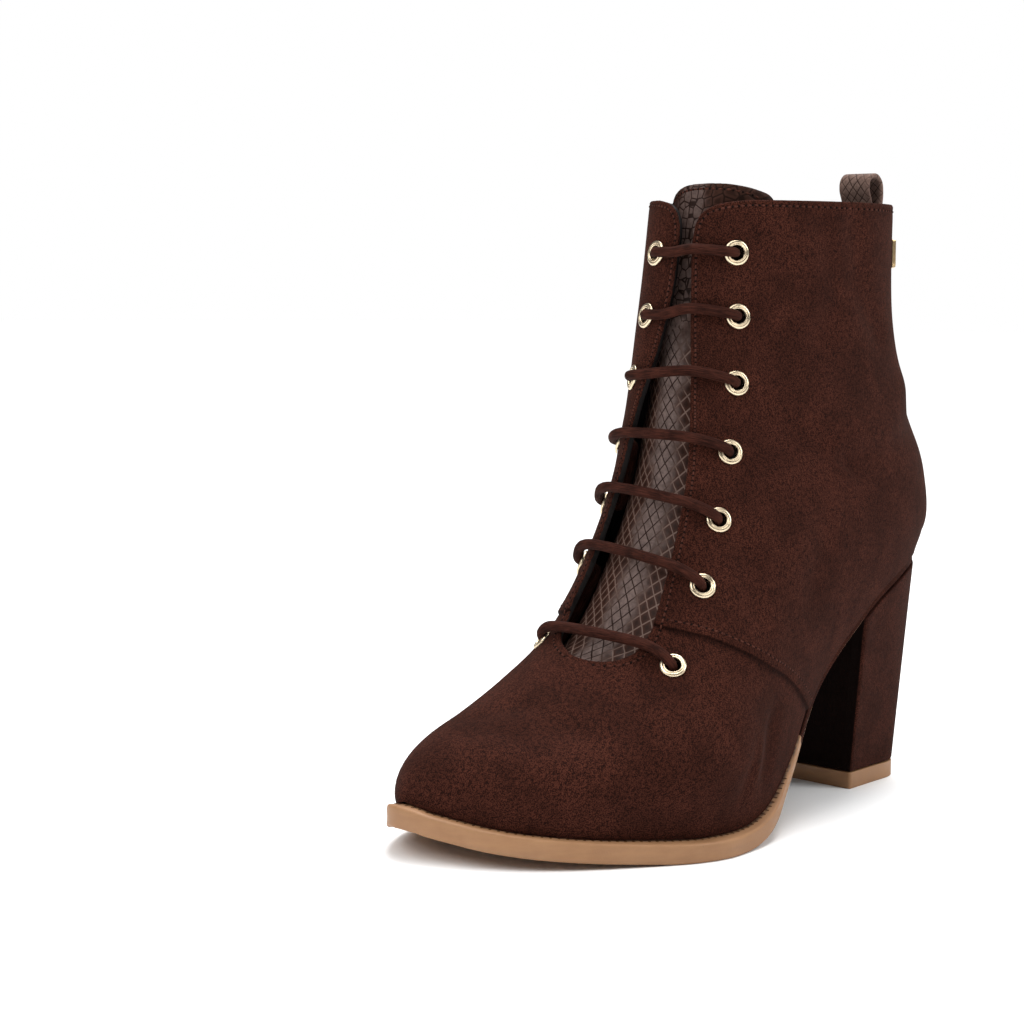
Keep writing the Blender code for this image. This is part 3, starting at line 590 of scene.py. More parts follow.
@dataclass(frozen=True)
class Metal(Finish):
    """Plated metal with faint clouding and hairlines."""

    tone: Colour
    rough: float

    def lay(self, graph: Graph) -> bpy.types.Material:
        """Lay the nodes of the metal."""
        spot = graph.place()
        cloud = graph.noise(spot, 2.5, 3.0, 0.6)
        hair = graph.noise(graph.turned(spot, (1.0, 1.0, 0.12)), 0.3, 2.0)
        colour = graph.clouded(cloud, self.tone, 0.86)
        rough = graph.ramp(cloud, 0.3, 0.7, self.rough * 0.8, self.rough * 1.3)
        normal = graph.bump(hair, 0.006, 0.25)
        return graph.done(Base_Color=colour, Roughness=rough, Normal=normal, Metallic=1.0)


@dataclass(frozen=True)
class Lining(Finish):
    """Dark lining leather with a fine pebble."""

    tone: Colour
    rough: float = 0.5
    pebble: float = 1.1

    def lay(self, graph: Graph) -> bpy.types.Material:
        """Lay the nodes of the lining."""
        spot = graph.place()
        inputs = {"Vector": spot, "Scale": 1.0 / (self.pebble * MM)}
        cells = graph.add("TexVoronoi", inputs).outputs["Distance"]
        cloud = graph.noise(spot, 9.0, 3.0)
        colour = graph.clouded(cloud, self.tone, 0.6)
        normal = graph.bump(cells, 0.08, 0.5)
        rough = graph.ramp(cloud, 0.3, 0.7, self.rough - 0.1, self.rough + 0.1)
        return graph.done(Base_Color=colour, Roughness=rough, Normal=normal, Specular_IOR_Level=0.10)


@dataclass(frozen=True)
class CordSuede(Finish):
    """Round suede cord: fibres and ridges along its length."""

    dark: Colour
    light: Colour

    def lay(self, graph: Graph) -> bpy.types.Material:
        """Lay the nodes of the cord."""
        flat = graph.surface()
        fibre = graph.noise(graph.turned(flat, (2.2, 0.16, 1.0)), 0.8, 4.0, 0.65, 0.4)
        speck = graph.noise(graph.place(), 0.35, 3.0, 0.7)
        cloud = graph.noise(graph.place(), 6.0, 3.0)
        tone = graph.blend((fibre, 0.55), (cloud, 0.25), (speck, 0.2))
        colour = graph.mix(graph.ramp(tone, 0.38, 0.64), self.dark, self.light)
        normal = graph.bump(speck, 0.08, 0.5, graph.bump(fibre, 0.3, 0.7))
        rough = graph.ramp(speck, 0.3, 0.7, 0.7, 0.9)
        return graph.done(Base_Color=colour, Roughness=rough, Normal=normal, Specular_IOR_Level=0.06,
                          Sheen_Weight=0.02, Sheen_Roughness=0.4, Sheen_Tint=(0.6, 0.3, 0.22))


@dataclass(frozen=True)
class Weave(Finish):
    """Woven tape: rows of tight yarn on the surface map."""

    tone: Colour
    yarn: float = 0.55

    def lay(self, graph: Graph) -> bpy.types.Material:
        """Lay the nodes of the tape."""
        out, run = graph.split(graph.surface())
        step = self.yarn * MM
        warp = graph.math("SINE", graph.math("MULTIPLY", out, 2 * pi / step))
        weft = graph.math("SINE", graph.math("MULTIPLY", run, 2 * pi / step))
        net = graph.math("MULTIPLY", warp, weft)
        colour = graph.mix(graph.ramp(net, -0.8, 0.8), shade(self.tone, 0.5), self.tone)
        rough = graph.ramp(net, -1.0, 1.0, 0.82, 0.95)
        return graph.done(Base_Color=colour, Roughness=rough, Normal=graph.bump(net, 0.08, 0.6))


@dataclass(frozen=True)
class Floor(Finish):
    """Pale matt floor with the faintest clouding."""

    tone: Colour

    def lay(self, graph: Graph) -> bpy.types.Material:
        """Lay the nodes of the floor."""
        cloud = graph.noise(graph.place(), 400.0, 2.0)
        colour = graph.clouded(cloud, self.tone, 0.985)
        return graph.done(Base_Color=colour, Roughness=0.95, Specular_IOR_Level=0.1)


SUEDE = Suede("suede_brown", (0.0078, 0.0021, 0.0012), (0.0580, 0.0171, 0.0105))
HEEL_SUEDE = Suede("suede_heel", (0.0080, 0.0023, 0.0014), (0.0540, 0.0160, 0.0100), cloud=13.0)
# Dark suede for painted shade on the heel's breast and the waist's underside
SHADE_SUEDE = Suede("suede_painted_shade", (0.0020, 0.0006, 0.0003), (0.0060, 0.0018, 0.0010), cloud=13.0)
CUT_EDGE = Lining("edge_dark", (0.014, 0.0095, 0.008), 0.62, 0.5)
BLACK_LINING = Lining("lining_black", (0.008, 0.0062, 0.0058), 0.6)
INSOLE_CLOTH = Lining("insole_dark", (0.018, 0.014, 0.013), 0.8, 0.7)
# Pale middles of these scales are painted sheen: down the tongue's middle and across the loop's
SCALES = ScaledLeather("leather_scales", (0.150, 0.106, 0.094), (0.022, 0.0095, 0.0066),
                       (0.014, 0.0062, 0.0043), (0.140, 0.091, 0.074), sheen_band=5.5, top=128.0)
LOOP_SCALES = ScaledLeather("leather_scales_loop", (0.185, 0.120, 0.098), (0.100, 0.060, 0.0480),
                            (0.030, 0.0165, 0.0125), (0.170, 0.110, 0.090),
                            across=3.3, along=3.7, middle=0.0, sheen_band=6.0)
GUM = Gum("gum_tan", (0.300, 0.156, 0.072), (0.248, 0.123, 0.054))
GOLD = Metal("metal_pale_gold", (0.72, 0.59, 0.41), 0.27)
PLATE_GOLD = Metal("metal_plate_gold", (0.58, 0.42, 0.23), 0.40)
GUNMETAL = Metal("metal_dark", (0.10, 0.095, 0.095), 0.32)
CORD = CordSuede("cord_suede", (0.0120, 0.0034, 0.0021), (0.0520, 0.0155, 0.0098))
THREAD = CordSuede("thread_brown", (0.032, 0.0098, 0.0064), (0.084, 0.0290, 0.0194))
# Colour of the needle-hole bumps: painted shade of the holes
HOLE_SHADE_THREAD = CordSuede("thread_hole_shade", (0.0040, 0.0017, 0.0012), (0.0085, 0.0036, 0.0025))
NOTCH = CordSuede("notch_brown", (0.040, 0.018, 0.010), (0.100, 0.048, 0.026))
TAPE = Weave("tape_black", (0.016, 0.014, 0.014))
PALE_FLOOR = Floor("floor_pale", (0.93, 0.93, 0.93))


# The last that carries every piece


@dataclass
class Last:
    """Outside of the last: station u from toe to collar, girth v from -1 medial over 0 ridge to 1 lateral."""

    columns: tuple = (
        "front_along", "front_height", "base_along", "base_height", "lateral", "medial",
        "belly", "feather_lateral", "feather_medial", "centre",
    )
    rows: dict = field(default_factory=lambda: {
        "tip": (227.2, 16.9, 227.2, 16.9, 0.0, 0.0, 0.70, 0.0, 0.0, -10.6),
        "nose": (223.2, 25.4, 224.4, 14.6, 12.8, 9.8, 0.70, 10.8, 8.4, -8.4),
        "toe": (215.8, 32.8, 216.4, 11.8, 26.0, 20.4, 0.69, 24.6, 19.0, -5.4),
        "toe_box": (204.0, 38.7, 203.0, 9.6, 37.0, 30.6, 0.67, 34.9, 29.0, -2.4),
        "vamp": (188.0, 45.2, 184.0, 7.7, 45.8, 38.2, 0.66, 42.9, 36.2, 0.4),
        "ball": (172.8, 55.0, 160.0, 6.4, 52.6, 41.0, 0.65, 50.2, 38.0, 2.3),
        "throat": (160.6, 66.3, 136.0, 8.1, 51.0, 40.0, 0.62, 48.4, 35.4, 3.8),
        "instep": (150.8, 82.8, 110.0, 19.2, 43.4, 36.6, 0.58, 39.0, 33.0, 4.8),
        "arch": (142.0, 101.3, 82.0, 43.0, 37.7, 33.9, 0.54, 29.6, 29.0, 4.3),
        "breast": (136.2, 116.5, 52.0, 65.5, 35.6, 33.5, 0.52, 28.4, 27.6, 3.1),
        "seat": (133.0, 127.6, 24.0, 78.0, 35.6, 34.5, 0.50, 25.2, 25.2, 1.7),
        "heel": (130.6, 136.7, -5.0, 83.7, 36.2, 35.3, 0.50, 0.0, 0.0, 0.4),
        "counter": (127.6, 147.3, -7.7, 104.0, 35.2, 34.4, 0.50, 0.0, 0.0, -0.9),
        "ankle": (124.0, 160.0, 0.5, 132.0, 32.2, 31.4, 0.50, 0.0, 0.0, -3.0),
        "shaft": (120.0, 178.2, 8.5, 163.0, 30.6, 29.7, 0.50, 0.0, 0.0, -4.0),
        "collar": (116.0, 201.5, 10.6, 203.0, 31.0, 30.2, 0.50, 0.0, 0.0, -4.1),
        "above": (112.3, 221.0, 10.4, 225.0, 31.2, 31.2, 0.50, 0.0, 0.0, -4.0),
    })
    front_share: float = 0.55

    def __post_init__(self) -> None:
        """Lay out the flat chart, about true to size."""
        names = list(self.rows)
        self.heel = float(names.index("heel"))
        self.collar = float(names.index("collar"))
        self.end = len(names) - 1.0
        self.chart_u = np.linspace(0.0, self.end, 641)
        girth = np.linspace(-1.0, 1.0, 121)
        grid = self.point(self.chart_u[:, None], girth[None, :])
        steps = np.linalg.norm(np.diff(grid, axis=0), axis=2).mean(axis=1)
        self.chart_p = np.concatenate([[0.0], np.cumsum(steps)])
        self.chart_q = np.linalg.norm(np.diff(grid, axis=1), axis=2).sum(axis=1) / 2

    def column(self, name: str, u: Array) -> Array:
        """A column of the table at station u, by a curve through its rows."""
        values = np.array([row[self.columns.index(name)] for row in self.rows.values()])
        square = name.startswith("feather")
        if square:
            values = values ** 2
        first = values[1] if name.endswith("along") else 2 * values[0] - values[1]
        padded = np.concatenate([[first], values, [2 * values[-1] - values[-2]]])
        u = np.asarray(u, float)
        k = np.clip(np.floor(u).astype(int), 0, len(values) - 2)
        t = u - k
        a, b, c, d = padded[k], padded[k + 1], padded[k + 2], padded[k + 3]
        cubic = (3 * b - a - 3 * c + d) * t + (2 * a - 5 * b + 4 * c - d)
        result = b + 0.5 * t * ((c - a) + t * cubic)
        return np.sqrt(np.maximum(result, 0.0)) if square else result

    def point(self, u: Array, v: Array) -> Array:
        """Place on the last.

        Args:
            u: stations.
            v: girths.

        Returns:
            Points (x, along, height) in millimetres.
        """
        u, v = np.broadcast_arrays(np.asarray(u, float), np.asarray(v, float))
        lateral = v >= 0
        reach = np.where(lateral, self.column("lateral", u), self.column("medial", u))
        feather = np.where(lateral, self.column("feather_lateral", u), self.column("feather_medial", u))
        belly = self.column("belly", u)
        share = np.abs(v)
        phi = np.clip(share / self.front_share, 0, 1) * pi / 2
        end = np.arccos(np.clip(feather / np.maximum(reach, 1e-6), 0, 0.999))
        psi = np.clip((share - self.front_share) / (1 - self.front_share), 0, 1) * end
        in_front = share <= self.front_share
        out = reach * np.where(in_front, np.sin(phi), np.cos(psi))
        down = np.where(in_front, belly * (1 - np.cos(phi)), belly + (1 - belly) * np.sin(psi) / np.sin(end))
        x = self.column("centre", u) + np.where(lateral, out, -out)
        front_along = self.column("front_along", u)
        front_height = self.column("front_height", u)
        along = front_along + (self.column("base_along", u) - front_along) * down
        height = front_height + (self.column("base_height", u) - front_height) * down
        return np.stack([x, along, height], -1)

    def normal(self, u: Array, v: Array) -> Array:
        """Outward unit normal of the last."""
        u, v = np.broadcast_arrays(np.asarray(u, float), np.asarray(v, float))
        u = np.clip(u, 0.06, self.end - 0.01)
        v = np.clip(v, -0.9999, 0.9999)
        by_u = self.point(u + 0.01, v) - self.point(u - 0.01, v)
        by_v = self.point(u, np.minimum(v + 0.005, 1.0)) - self.point(u, np.maximum(v - 0.005, -1.0))
        return unit(np.cross(by_u, by_v))

    def girth(self, u: Array, out: Array) -> Array:
        """Girth in front where the section at station u is a distance out from its centre."""
        reach = np.where(np.asarray(out) > 0, self.column("lateral", u), self.column("medial", u))
        return self.front_share * np.arcsin(np.clip(out / reach, -1.0, 1.0)) * 2 / pi

    def locate(self, along: float, height: float, start: tuple) -> tuple:
        """Station and girth on the last's side at an along and a height, searched from a start."""
        u, v = start
        for _ in range(25):
            here = self.point(u, v)[1:]
            by_u = (self.point(u + 0.005, v)[1:] - here) / 0.005
            by_v = (self.point(u, v + 0.002)[1:] - here) / 0.002
            du, dv = np.linalg.solve(np.stack([by_u, by_v], 1), np.array([along, height]) - here)
            u = min(max(u + np.clip(du, -0.5, 0.5), 0.2), self.end - 0.05)
            v = min(max(v + np.clip(dv, -0.1, 0.1), -0.99), 0.99)
        return u, v

    def to_chart(self, uv: Array) -> Array:
        """Station and girth to millimetres of the flat chart."""
        u, v = np.asarray(uv, float).T
        p = np.interp(u, self.chart_u, self.chart_p)
        return np.stack([p, v * np.interp(u, self.chart_u, self.chart_q)], 1)

    def from_chart(self, pq: Array) -> Array:
        """Station and girth of places on the flat chart."""
        p, q = np.asarray(pq, float).T
        u = np.interp(p, self.chart_p, self.chart_u)
        return np.stack([u, q / np.maximum(np.interp(u, self.chart_u, self.chart_q), 1e-9)], 1)

    def axes(self, u: float, v: float) -> tuple:
        """Place and axes on the last: outward normal, level tangent towards the toe, and up."""
        normal = self.normal(u, v)
        up = np.array([0.0, 0.0, 1.0])
        up = unit(up - normal * normal.dot(up))
        return self.point(u, v), normal, np.cross(up, normal), up

    def ring(self, u: float, v: float, radius: float, count: int) -> Array:
        """Stations and girths of a ring of true radius about a place."""
        by_u = (self.point(u + 0.01, v) - self.point(u - 0.01, v)) / 0.02
        by_v = (self.point(u, v + 0.005) - self.point(u, v - 0.005)) / 0.01
        first = unit(by_u)
        second = np.cross(self.normal(u, v), first)
        turns = np.linspace(0, 2 * pi, count, endpoint=False)
        wanted = radius * (np.outer(np.cos(turns), first) + np.outer(np.sin(turns), second))
        steps = np.linalg.lstsq(np.stack([by_u, by_v], 1), wanted.T, rcond=None)[0]
        return np.array([(u + du, v + dv) for du, dv in steps.T])


LAST = Last()


def inside(points: Array, loop: Array) -> Array:
    """Which chart points lie inside a closed loop."""
    result = np.zeros(len(points), bool)
    ax, ay = loop.T
    bx, by = np.roll(loop, -1, axis=0).T
    rise = np.where(by == ay, 1e-12, by - ay)
    for start in range(0, len(points), 4000):
        x, y = points[start:start + 4000, :1], points[start:start + 4000, 1:]
        spans = (ay > y) != (by > y)
        cross = ax + (y - ay) * (bx - ax) / rise
        result[start:start + 4000] = (np.sum(spans & (x < cross), axis=1) % 2) == 1
    return result


def nearest(points: Array, others: Array) -> Array:
    """Distance from each point to the nearest of the others, on the chart."""
    tree = kdtree.KDTree(len(others))
    for number, other in enumerate(others):
        tree.insert((other[0], other[1], 0.0), number)
    tree.balance()
    return np.array([tree.find((p[0], p[1], 0.0))[2] for p in points])


@dataclass
class Region:
    """Part of the last's chart that a sheet covers, in chart millimetres."""

    outline: Array
    holes: list
    lines: list
    free: Array
    spacing: float
    insets: tuple

    def rows_inside(self) -> Array:
        """Points in rows inside the free edge, which round it and carry its seam."""
        side = left_of(self.free)
        rows = []
        for inset in self.insets:
            for sign in (1.0, -1.0):
                row = self.free + side * inset * sign
                near = nearest(row, self.free)
                rows.append(row[inside(row, self.outline) & (near > CLEAR * inset)])
        return np.concatenate(rows)

    def covers(self, points: Array) -> Array:
        """Which points lie in the region and in none of its holes."""
        keep = inside(points, self.outline)
        for hole in self.holes:
            keep &= ~inside(points, hole)
        return keep

    def triangles(self) -> tuple:
        """Triangles over the region.

        Returns:
            Station and girth of each corner, corner numbers of each face, and distance to the free edge.
        """
        points, edges = [], []
        for loop in [self.outline] + self.holes:
            first = len(points)
            points += loop.tolist()
            edges += [(first + i, first + (i + 1) % len(loop)) for i in range(len(loop))]
        for line in self.lines:
            first = len(points)
            points += line.tolist()
            edges += [(first + i, first + i + 1) for i in range(len(line) - 1)]
        fixed = np.array(points)
        rows = self.rows_inside()
        rows = rows[nearest(rows, fixed) > 0.25]
        low, high = self.outline.min(axis=0), self.outline.max(axis=0)
        grid = []
        for number, p in enumerate(np.arange(low[0] + 0.5 * self.spacing, high[0], self.spacing * 0.87)):
            shift = 0.5 * self.spacing * (number % 2)
            grid += [(p, q) for q in np.arange(low[1] + shift, high[1], self.spacing)]
        grid = np.array(grid).reshape(-1, 2)
        taken = np.concatenate([fixed, rows])
        grid = grid[nearest(grid, taken) > 0.6 * self.spacing]
        points = np.concatenate([taken, grid[self.covers(grid)]])
        result = delaunay_2d_cdt(points.tolist(), edges, [], 0, 1e-5)
        corners = np.array([tuple(p) for p in result[0]])
        faces = np.array([tuple(f) for f in result[2]])
        faces = faces[self.covers(corners[faces].mean(axis=1))]
        used = np.unique(faces)
        renumber = np.full(len(corners), -1)
        renumber[used] = np.arange(len(used))
        distance = nearest(corners[used], resample(self.free, 0.25))
        return LAST.from_chart(corners[used]), renumber[faces], distance


def thick_sheet(name: str, uv: Array, faces: Array, outer: Array, inner: Array) -> bpy.types.Object:
    """Closed sheet between two offsets of the last.

    Args:
        name: piece name.
        uv: station and girth of each corner.
        faces: corner numbers of each triangle.
        outer: offset of the outside at each corner, in millimetres.
        inner: offset of the inside.

    Returns:
        The piece, with outer, inner and rim faces numbered as Face says, and its chart as surface map.
    """
    base = LAST.point(uv[:, 0], uv[:, 1])
    normal = LAST.normal(uv[:, 0], uv[:, 1])
    chart = LAST.to_chart(uv)
    keys = np.round(base / 0.02).astype(np.int64)
    first, back = np.unique(keys, axis=0, return_index=True, return_inverse=True)[1:]
    faces = first[back.ravel()][faces]
    whole = (faces[:, 0] != faces[:, 1]) & (faces[:, 1] != faces[:, 2]) & (faces[:, 2] != faces[:, 0])
    faces = faces[whole]
    a, b, c = (base[faces[:, i]] for i in range(3))
    turn = np.sum(np.cross(b - a, c - a) * normal[faces].sum(axis=1), axis=1)
    faces = np.where((turn > 0)[:, None], faces[:, ::-1], faces)
    count = len(uv)
    edges = set()
    for x, y, z in faces.tolist():
        edges.update(((x, y), (y, z), (z, x)))
    rims = [(j, i, i + count, j + count) for i, j in edges if (j, i) not in edges]
    rims.sort()
    top = place(base + normal * outer[:, None])
    low = place(base + normal * inner[:, None])
    solid = faces.tolist() + (faces[:, ::-1] + count).tolist() + rims
    maps = np.concatenate([chart, chart])[:, ::-1] * MM
    piece = mesh_piece(name, np.concatenate([top, low]), solid, maps)
    kinds = [Face.OUTER.value] * len(faces) + [Face.INNER.value] * len(faces) + [Face.RIM.value] * len(rims)
    piece.data.polygons.foreach_set("material_index", kinds)
    net = bmesh.new()
    net.from_mesh(piece.data)
    bmesh.ops.delete(net, geom=[v for v in net.verts if not v.link_faces], context="VERTS")
    net.to_mesh(piece.data)
    net.free()
    return piece


@dataclass(frozen=True)
class Crease:
    """Soft trough, or ridge where its depth is negative, along stations and girths."""

    path: tuple
    width: float
    depth: float

    def sink(self, chart: Array) -> Array:
        """How far it sinks the surface at places of the chart, in millimetres."""
        line = resample(LAST.to_chart(self.path), 1.0)
        return self.depth * np.exp(-(nearest(chart, line) / self.width) ** 2)


# Sub-assemblies


@dataclass(frozen=True)
class Stitching:
    """Sizes of rows of stitches, with dark bumps at their needle holes as painted shade of the holes."""

    pitch: float = 2.5
    length: float = 1.5
    width: float = 0.66
    height: float = 0.46
    pinhole: float = 0.75

    def sew(self, name: str, rows: list) -> None:
        """Make rows of stitches as one piece.

        Args:
            name: the piece's name.
            rows: per row, the points of its needle holes and the outward normals there.
        """
        spots, ways, outs, ends = [], [], [], []
        for point, normal in rows:
            step = point[1:] - point[:-1]
            keep = np.linalg.norm(step, axis=1) < 1.6 * self.pitch
            way = unit(step)[keep]
            out = unit(normal[1:] + normal[:-1])[keep]
            spots.append(0.5 * (point[1:] + point[:-1])[keep])
            ends.append(point[:-1][keep])
            ways.append(way)
            outs.append(unit(out - way * np.sum(out * way, axis=1, keepdims=True)))
        ways, outs = np.concatenate(ways), np.concatenate(outs)
        points, faces = capsules(np.concatenate(spots), ways, outs, self.length, self.width, self.height)
        # Dark bumps at the needle holes: painted shade of the holes
        holes, rims = capsules(np.concatenate(ends), ways, outs, self.pinhole, self.pinhole, self.height)
        kinds = [0] * len(faces) + [1] * len(rims)
        faces += [tuple(corner + len(points) for corner in face) for face in rims]
        points = np.concatenate([points, holes])
        piece = mesh_piece(name, place(points), faces, points[:, :2] * MM)
        piece.data.polygons.foreach_set("material_index", kinds)
        close_up(piece, 0.001)
        smooth(piece, 60.0)
        dress(piece, [THREAD, HOLE_SHADE_THREAD], "suede_cord")


STITCHING = Stitching()


@dataclass
class Upper:
    """Vamp and quarters of one hollow skin, with throat, eyelet holes and zip slot."""

    wall: float = 1.6
    spacing: float = 1.7
    edge_step: float = 1.2
    roll: float = 0.8
    hole: float = 3.6
    hole_sides: int = 28
    seam: tuple = ((0.10, 6.36), (0.19, 6.42), (0.35, 6.85), (0.54, 7.30), (0.75, 7.54), (1.00, 7.69))
    throat: tuple = (
        (5.22, 6.0, 6.0), (5.27, 12.0, 0.5), (5.40, 16.2, -4.0), (5.60, 19.2, -8.8), (5.85, 20.8, -12.2),
        (6.20, 21.0, -14.2), (6.60, 20.0, -14.9), (7.15, 18.2, -14.3), (7.90, 16.6, -13.4),
        (8.50, 15.6, -12.2), (9.50, 14.4, -9.2), (11.00, 13.1, -4.6), (12.45, 11.8, 1.2),
        (13.50, 10.4, 4.2), (14.30, 8.9, 4.7),
        (14.55, 8.9, 4.5), (14.73, 9.6, 3.6), (14.86, 11.7, 1.8), (14.95, 15.5, -1.2), (15.00, 21.0, -6.5),
    )
    zip_line: tuple = (
        (80.0, 54.0), (88.0, 49.0), (100.0, 45.0), (120.0, 42.0), (150.0, 41.0), (180.0, 41.5), (203.0, 42.0),
    )
    half_slot: float = 4.0
    slot_top: float = 196.0
    slot_low: float = 84.0
    eyelets: tuple = (
        (184.4, 19.2, 184.0, -3.8), (163.7, 20.7, 163.5, -4.9), (142.2, 22.1, 143.2, -10.4),
        (120.4, 23.4, 121.8, -19.0), (99.4, 25.1, 101.2, -23.2), (79.5, 27.8, 81.8, -24.4),
        (56.9, 32.6, 58.8, -22.6),
    )
    creases: tuple = (
        Crease(((3.10, 0.15), (3.45, 0.17), (3.80, 0.20)), 5.5, 1.3),
        Crease(((3.30, -0.05), (3.60, -0.01), (3.80, 0.02)), 5.0, 1.0),
        Crease(((2.70, 0.02), (2.95, 0.01)), 4.5, 0.7),
        Crease(((2.20, 0.35), (2.60, 0.42)), 6.0, 0.7),
        Crease(((6.50, 0.80), (6.87, 0.70)), 6.5, 1.6),
        Crease(((5.90, 0.76), (6.10, 0.70)), 6.0, 1.2),
        Crease(((6.20, 0.74), (6.45, 0.66)), 4.0, -0.6),
        Crease(((4.00, 0.55), (4.25, 0.50)), 6.5, 0.9),
        Crease(((14.90, 0.57), (14.13, 0.60), (13.68, 0.66)), 5.0, 1.5),
        Crease(((14.80, 0.47), (13.95, 0.53), (13.37, 0.47)), 5.5, 1.1),
        Crease(((13.10, 0.76), (12.30, 0.61), (11.56, 0.47)), 6.0, -1.2),
        Crease(((12.70, 0.80), (11.90, 0.62), (11.20, 0.50)), 6.0, 1.2),
        Crease(((14.70, -0.42), (13.80, -0.40), (13.20, -0.46)), 5.5, 0.9),
        Crease(((12.70, -0.72), (11.90, -0.52), (11.40, -0.42)), 6.0, 1.1),
        Crease(((6.50, -0.78), (6.90, -0.70)), 6.5, 1.2),
        Crease(((7.60, 0.42), (8.20, 0.36)), 6.0, 0.8),
        Crease(((8.60, 0.62), (9.30, 0.56)), 7.0, 0.7),
        Crease(((7.60, -0.46), (8.20, -0.40)), 6.0, 0.8),
    )
    crease_fade: float = 6.0
    stitch_inset: float = 2.1
    stitch_sink: float = 0.04
    seam_inset: float = 2.0
    groove_depth: float = 0.22
    groove_width: float = 0.55
    # Step of the quarter over the vamp: place across the seam and height
    lap: tuple = ((-0.3, 0.0), (0.0, 0.55), (0.25, 0.82), (0.8, 0.9))
    # Length across the seam of one millimetre of the chart
    lap_scale: float = 0.72
    # Painted shadow line at the seam, under the quarter's edge: from and to on the chart, and strength
    seam_shadow: tuple = (-0.7, 0.15, 0.65)

    def seam_station(self, v: Array) -> Array:
        """Station of the vamp seam at a girth."""
        return table(tuple(smooth_rows(self.seam)), np.abs(v))

    def raised(self, u: Array, v: Array) -> Array:
        """How far the outside stands over the last: the quarter lies over the vamp with a rolled edge."""
        ahead = np.interp(u, LAST.chart_u, LAST.chart_p)
        seam = np.interp(self.seam_station(v), LAST.chart_u, LAST.chart_p)
        return table(self.lap, self.lap_scale * (ahead - seam))

    def places(self) -> dict:
        """Station and girth of each eyelet by side and row."""
        spots = {}
        for first, side in ((0, Side.LATERAL), (2, Side.MEDIAL)):
            u = 14.2
            for row, sizes in enumerate(self.eyelets, start=1):
                height, out = sizes[first:first + 2]
                for _ in range(30):
                    v = float(LAST.girth(u, out))
                    here = LAST.point(u, v)[2]
                    slope = LAST.point(u + 0.01, v)[2] - here
                    u += float(np.clip((height - here) / slope * 0.01, -0.4, 0.4))
                spots[(side, row)] = (u, float(LAST.girth(u, out)))
        return spots

    def zip_path(self, offset: float, heights: Array) -> Array:
        """Stations and girths of a line beside the zip's middle."""
        line = []
        start = (14.5, -0.6)
        for height in heights:
            start = LAST.locate(float(table(self.zip_line, height)) + offset, float(height), start)
            line.append(start)
        return np.array(line)

    def collar_girth(self, along: float) -> float:
        """Girth on the medial collar edge at a place along."""
        v = np.linspace(0.3, 1.0, 400)
        return -float(np.interp(-along, -LAST.point(LAST.collar, -v)[:, 1], v))

    def throat_path(self) -> Array:
        """Stations and girths of the throat's edge, from the medial corner round to the lateral one."""
        rows = [(u, medial) for u, _, medial in self.throat[::-1]]
        rows += [(u, lateral) for u, lateral, _ in self.throat[1:]]
        path = smooth_rows(rows, 8)
        return np.stack([path[:, 0], LAST.girth(path[:, 0], path[:, 1])], 1)

    def throat_edge(self, side: Side, u: float) -> float:
        """Girth of the throat's edge at a station."""
        return float(LAST.girth(u, table(self.throat, u, 1 if side is Side.LATERAL else 2)))

    def free_edge(self) -> Array:
        """Chart path of the open edge: collar, zip slot, throat and collar again."""
        heights = np.arange(self.slot_top, self.slot_low, -2.0)
        top = float(table(self.zip_line, self.zip_line[-1][0]))
        turns = np.linspace(0.0, pi, 9)
        bend = [(self.slot_low - self.half_slot * sin(t), self.half_slot * cos(t)) for t in turns]
        back = self.zip_path(-self.half_slot, heights)
        front = self.zip_path(self.half_slot, heights[::-1])
        start = tuple(back[-1])
        end = []
        for height, offset in bend[::-1]:
            start = LAST.locate(float(table(self.zip_line, height)) + offset, height, start)
            end.append(start)
        corner_back = (LAST.collar, self.collar_girth(top - self.half_slot))
        corner_front = (LAST.collar, self.collar_girth(top + self.half_slot))
        slot = np.concatenate([[corner_back], back, end, front, [corner_front]])
        throat = self.throat_path()
        parts = [
            np.array([(LAST.collar, -1.0), corner_back]),
            slot,
            np.array([corner_front, throat[0]]),
            throat,
            np.array([throat[-1], (LAST.collar, 1.0)]),
        ]
        path = []
        for part in parts:
            chart = LAST.to_chart(part)
            if part is slot:
                chart = smooth_rows(chart, 8)
            path.append(resample(chart, self.edge_step)[:-1])
        return np.concatenate(path + [LAST.to_chart([(LAST.collar, 1.0)])])

    def side_path(self, side: Side) -> Array:
        """Chart path of the feather edge and back seam, tip to collar."""
        u = np.linspace(0.0, LAST.collar, 1200)
        return resample(LAST.to_chart(np.stack([u, np.full_like(u, side.value)], 1)), 1.7)

    def seam_lines(self) -> list:
        """Chart lines that carry the step of the quarter over the vamp."""
        lines = []
        for side in Side:
            v = np.linspace(0.10, 1.02, 90) * side.value
            path = LAST.to_chart(np.stack([self.seam_station(v), v], 1))
            for shift, _ in self.lap:
                lines.append(resample(path + (shift / self.lap_scale, 0.0), self.edge_step))
        return lines

    def sink(self, chart: Array) -> Array:
        """How far the creases sink the surface."""
        return sum(crease.sink(chart) for crease in self.creases)

    def outline(self, free: Array) -> Array:
        """Chart loop round the whole skin."""
        medial, lateral = self.side_path(Side.MEDIAL), self.side_path(Side.LATERAL)
        return np.concatenate([medial[:-1], free, lateral[-2:0:-1]])

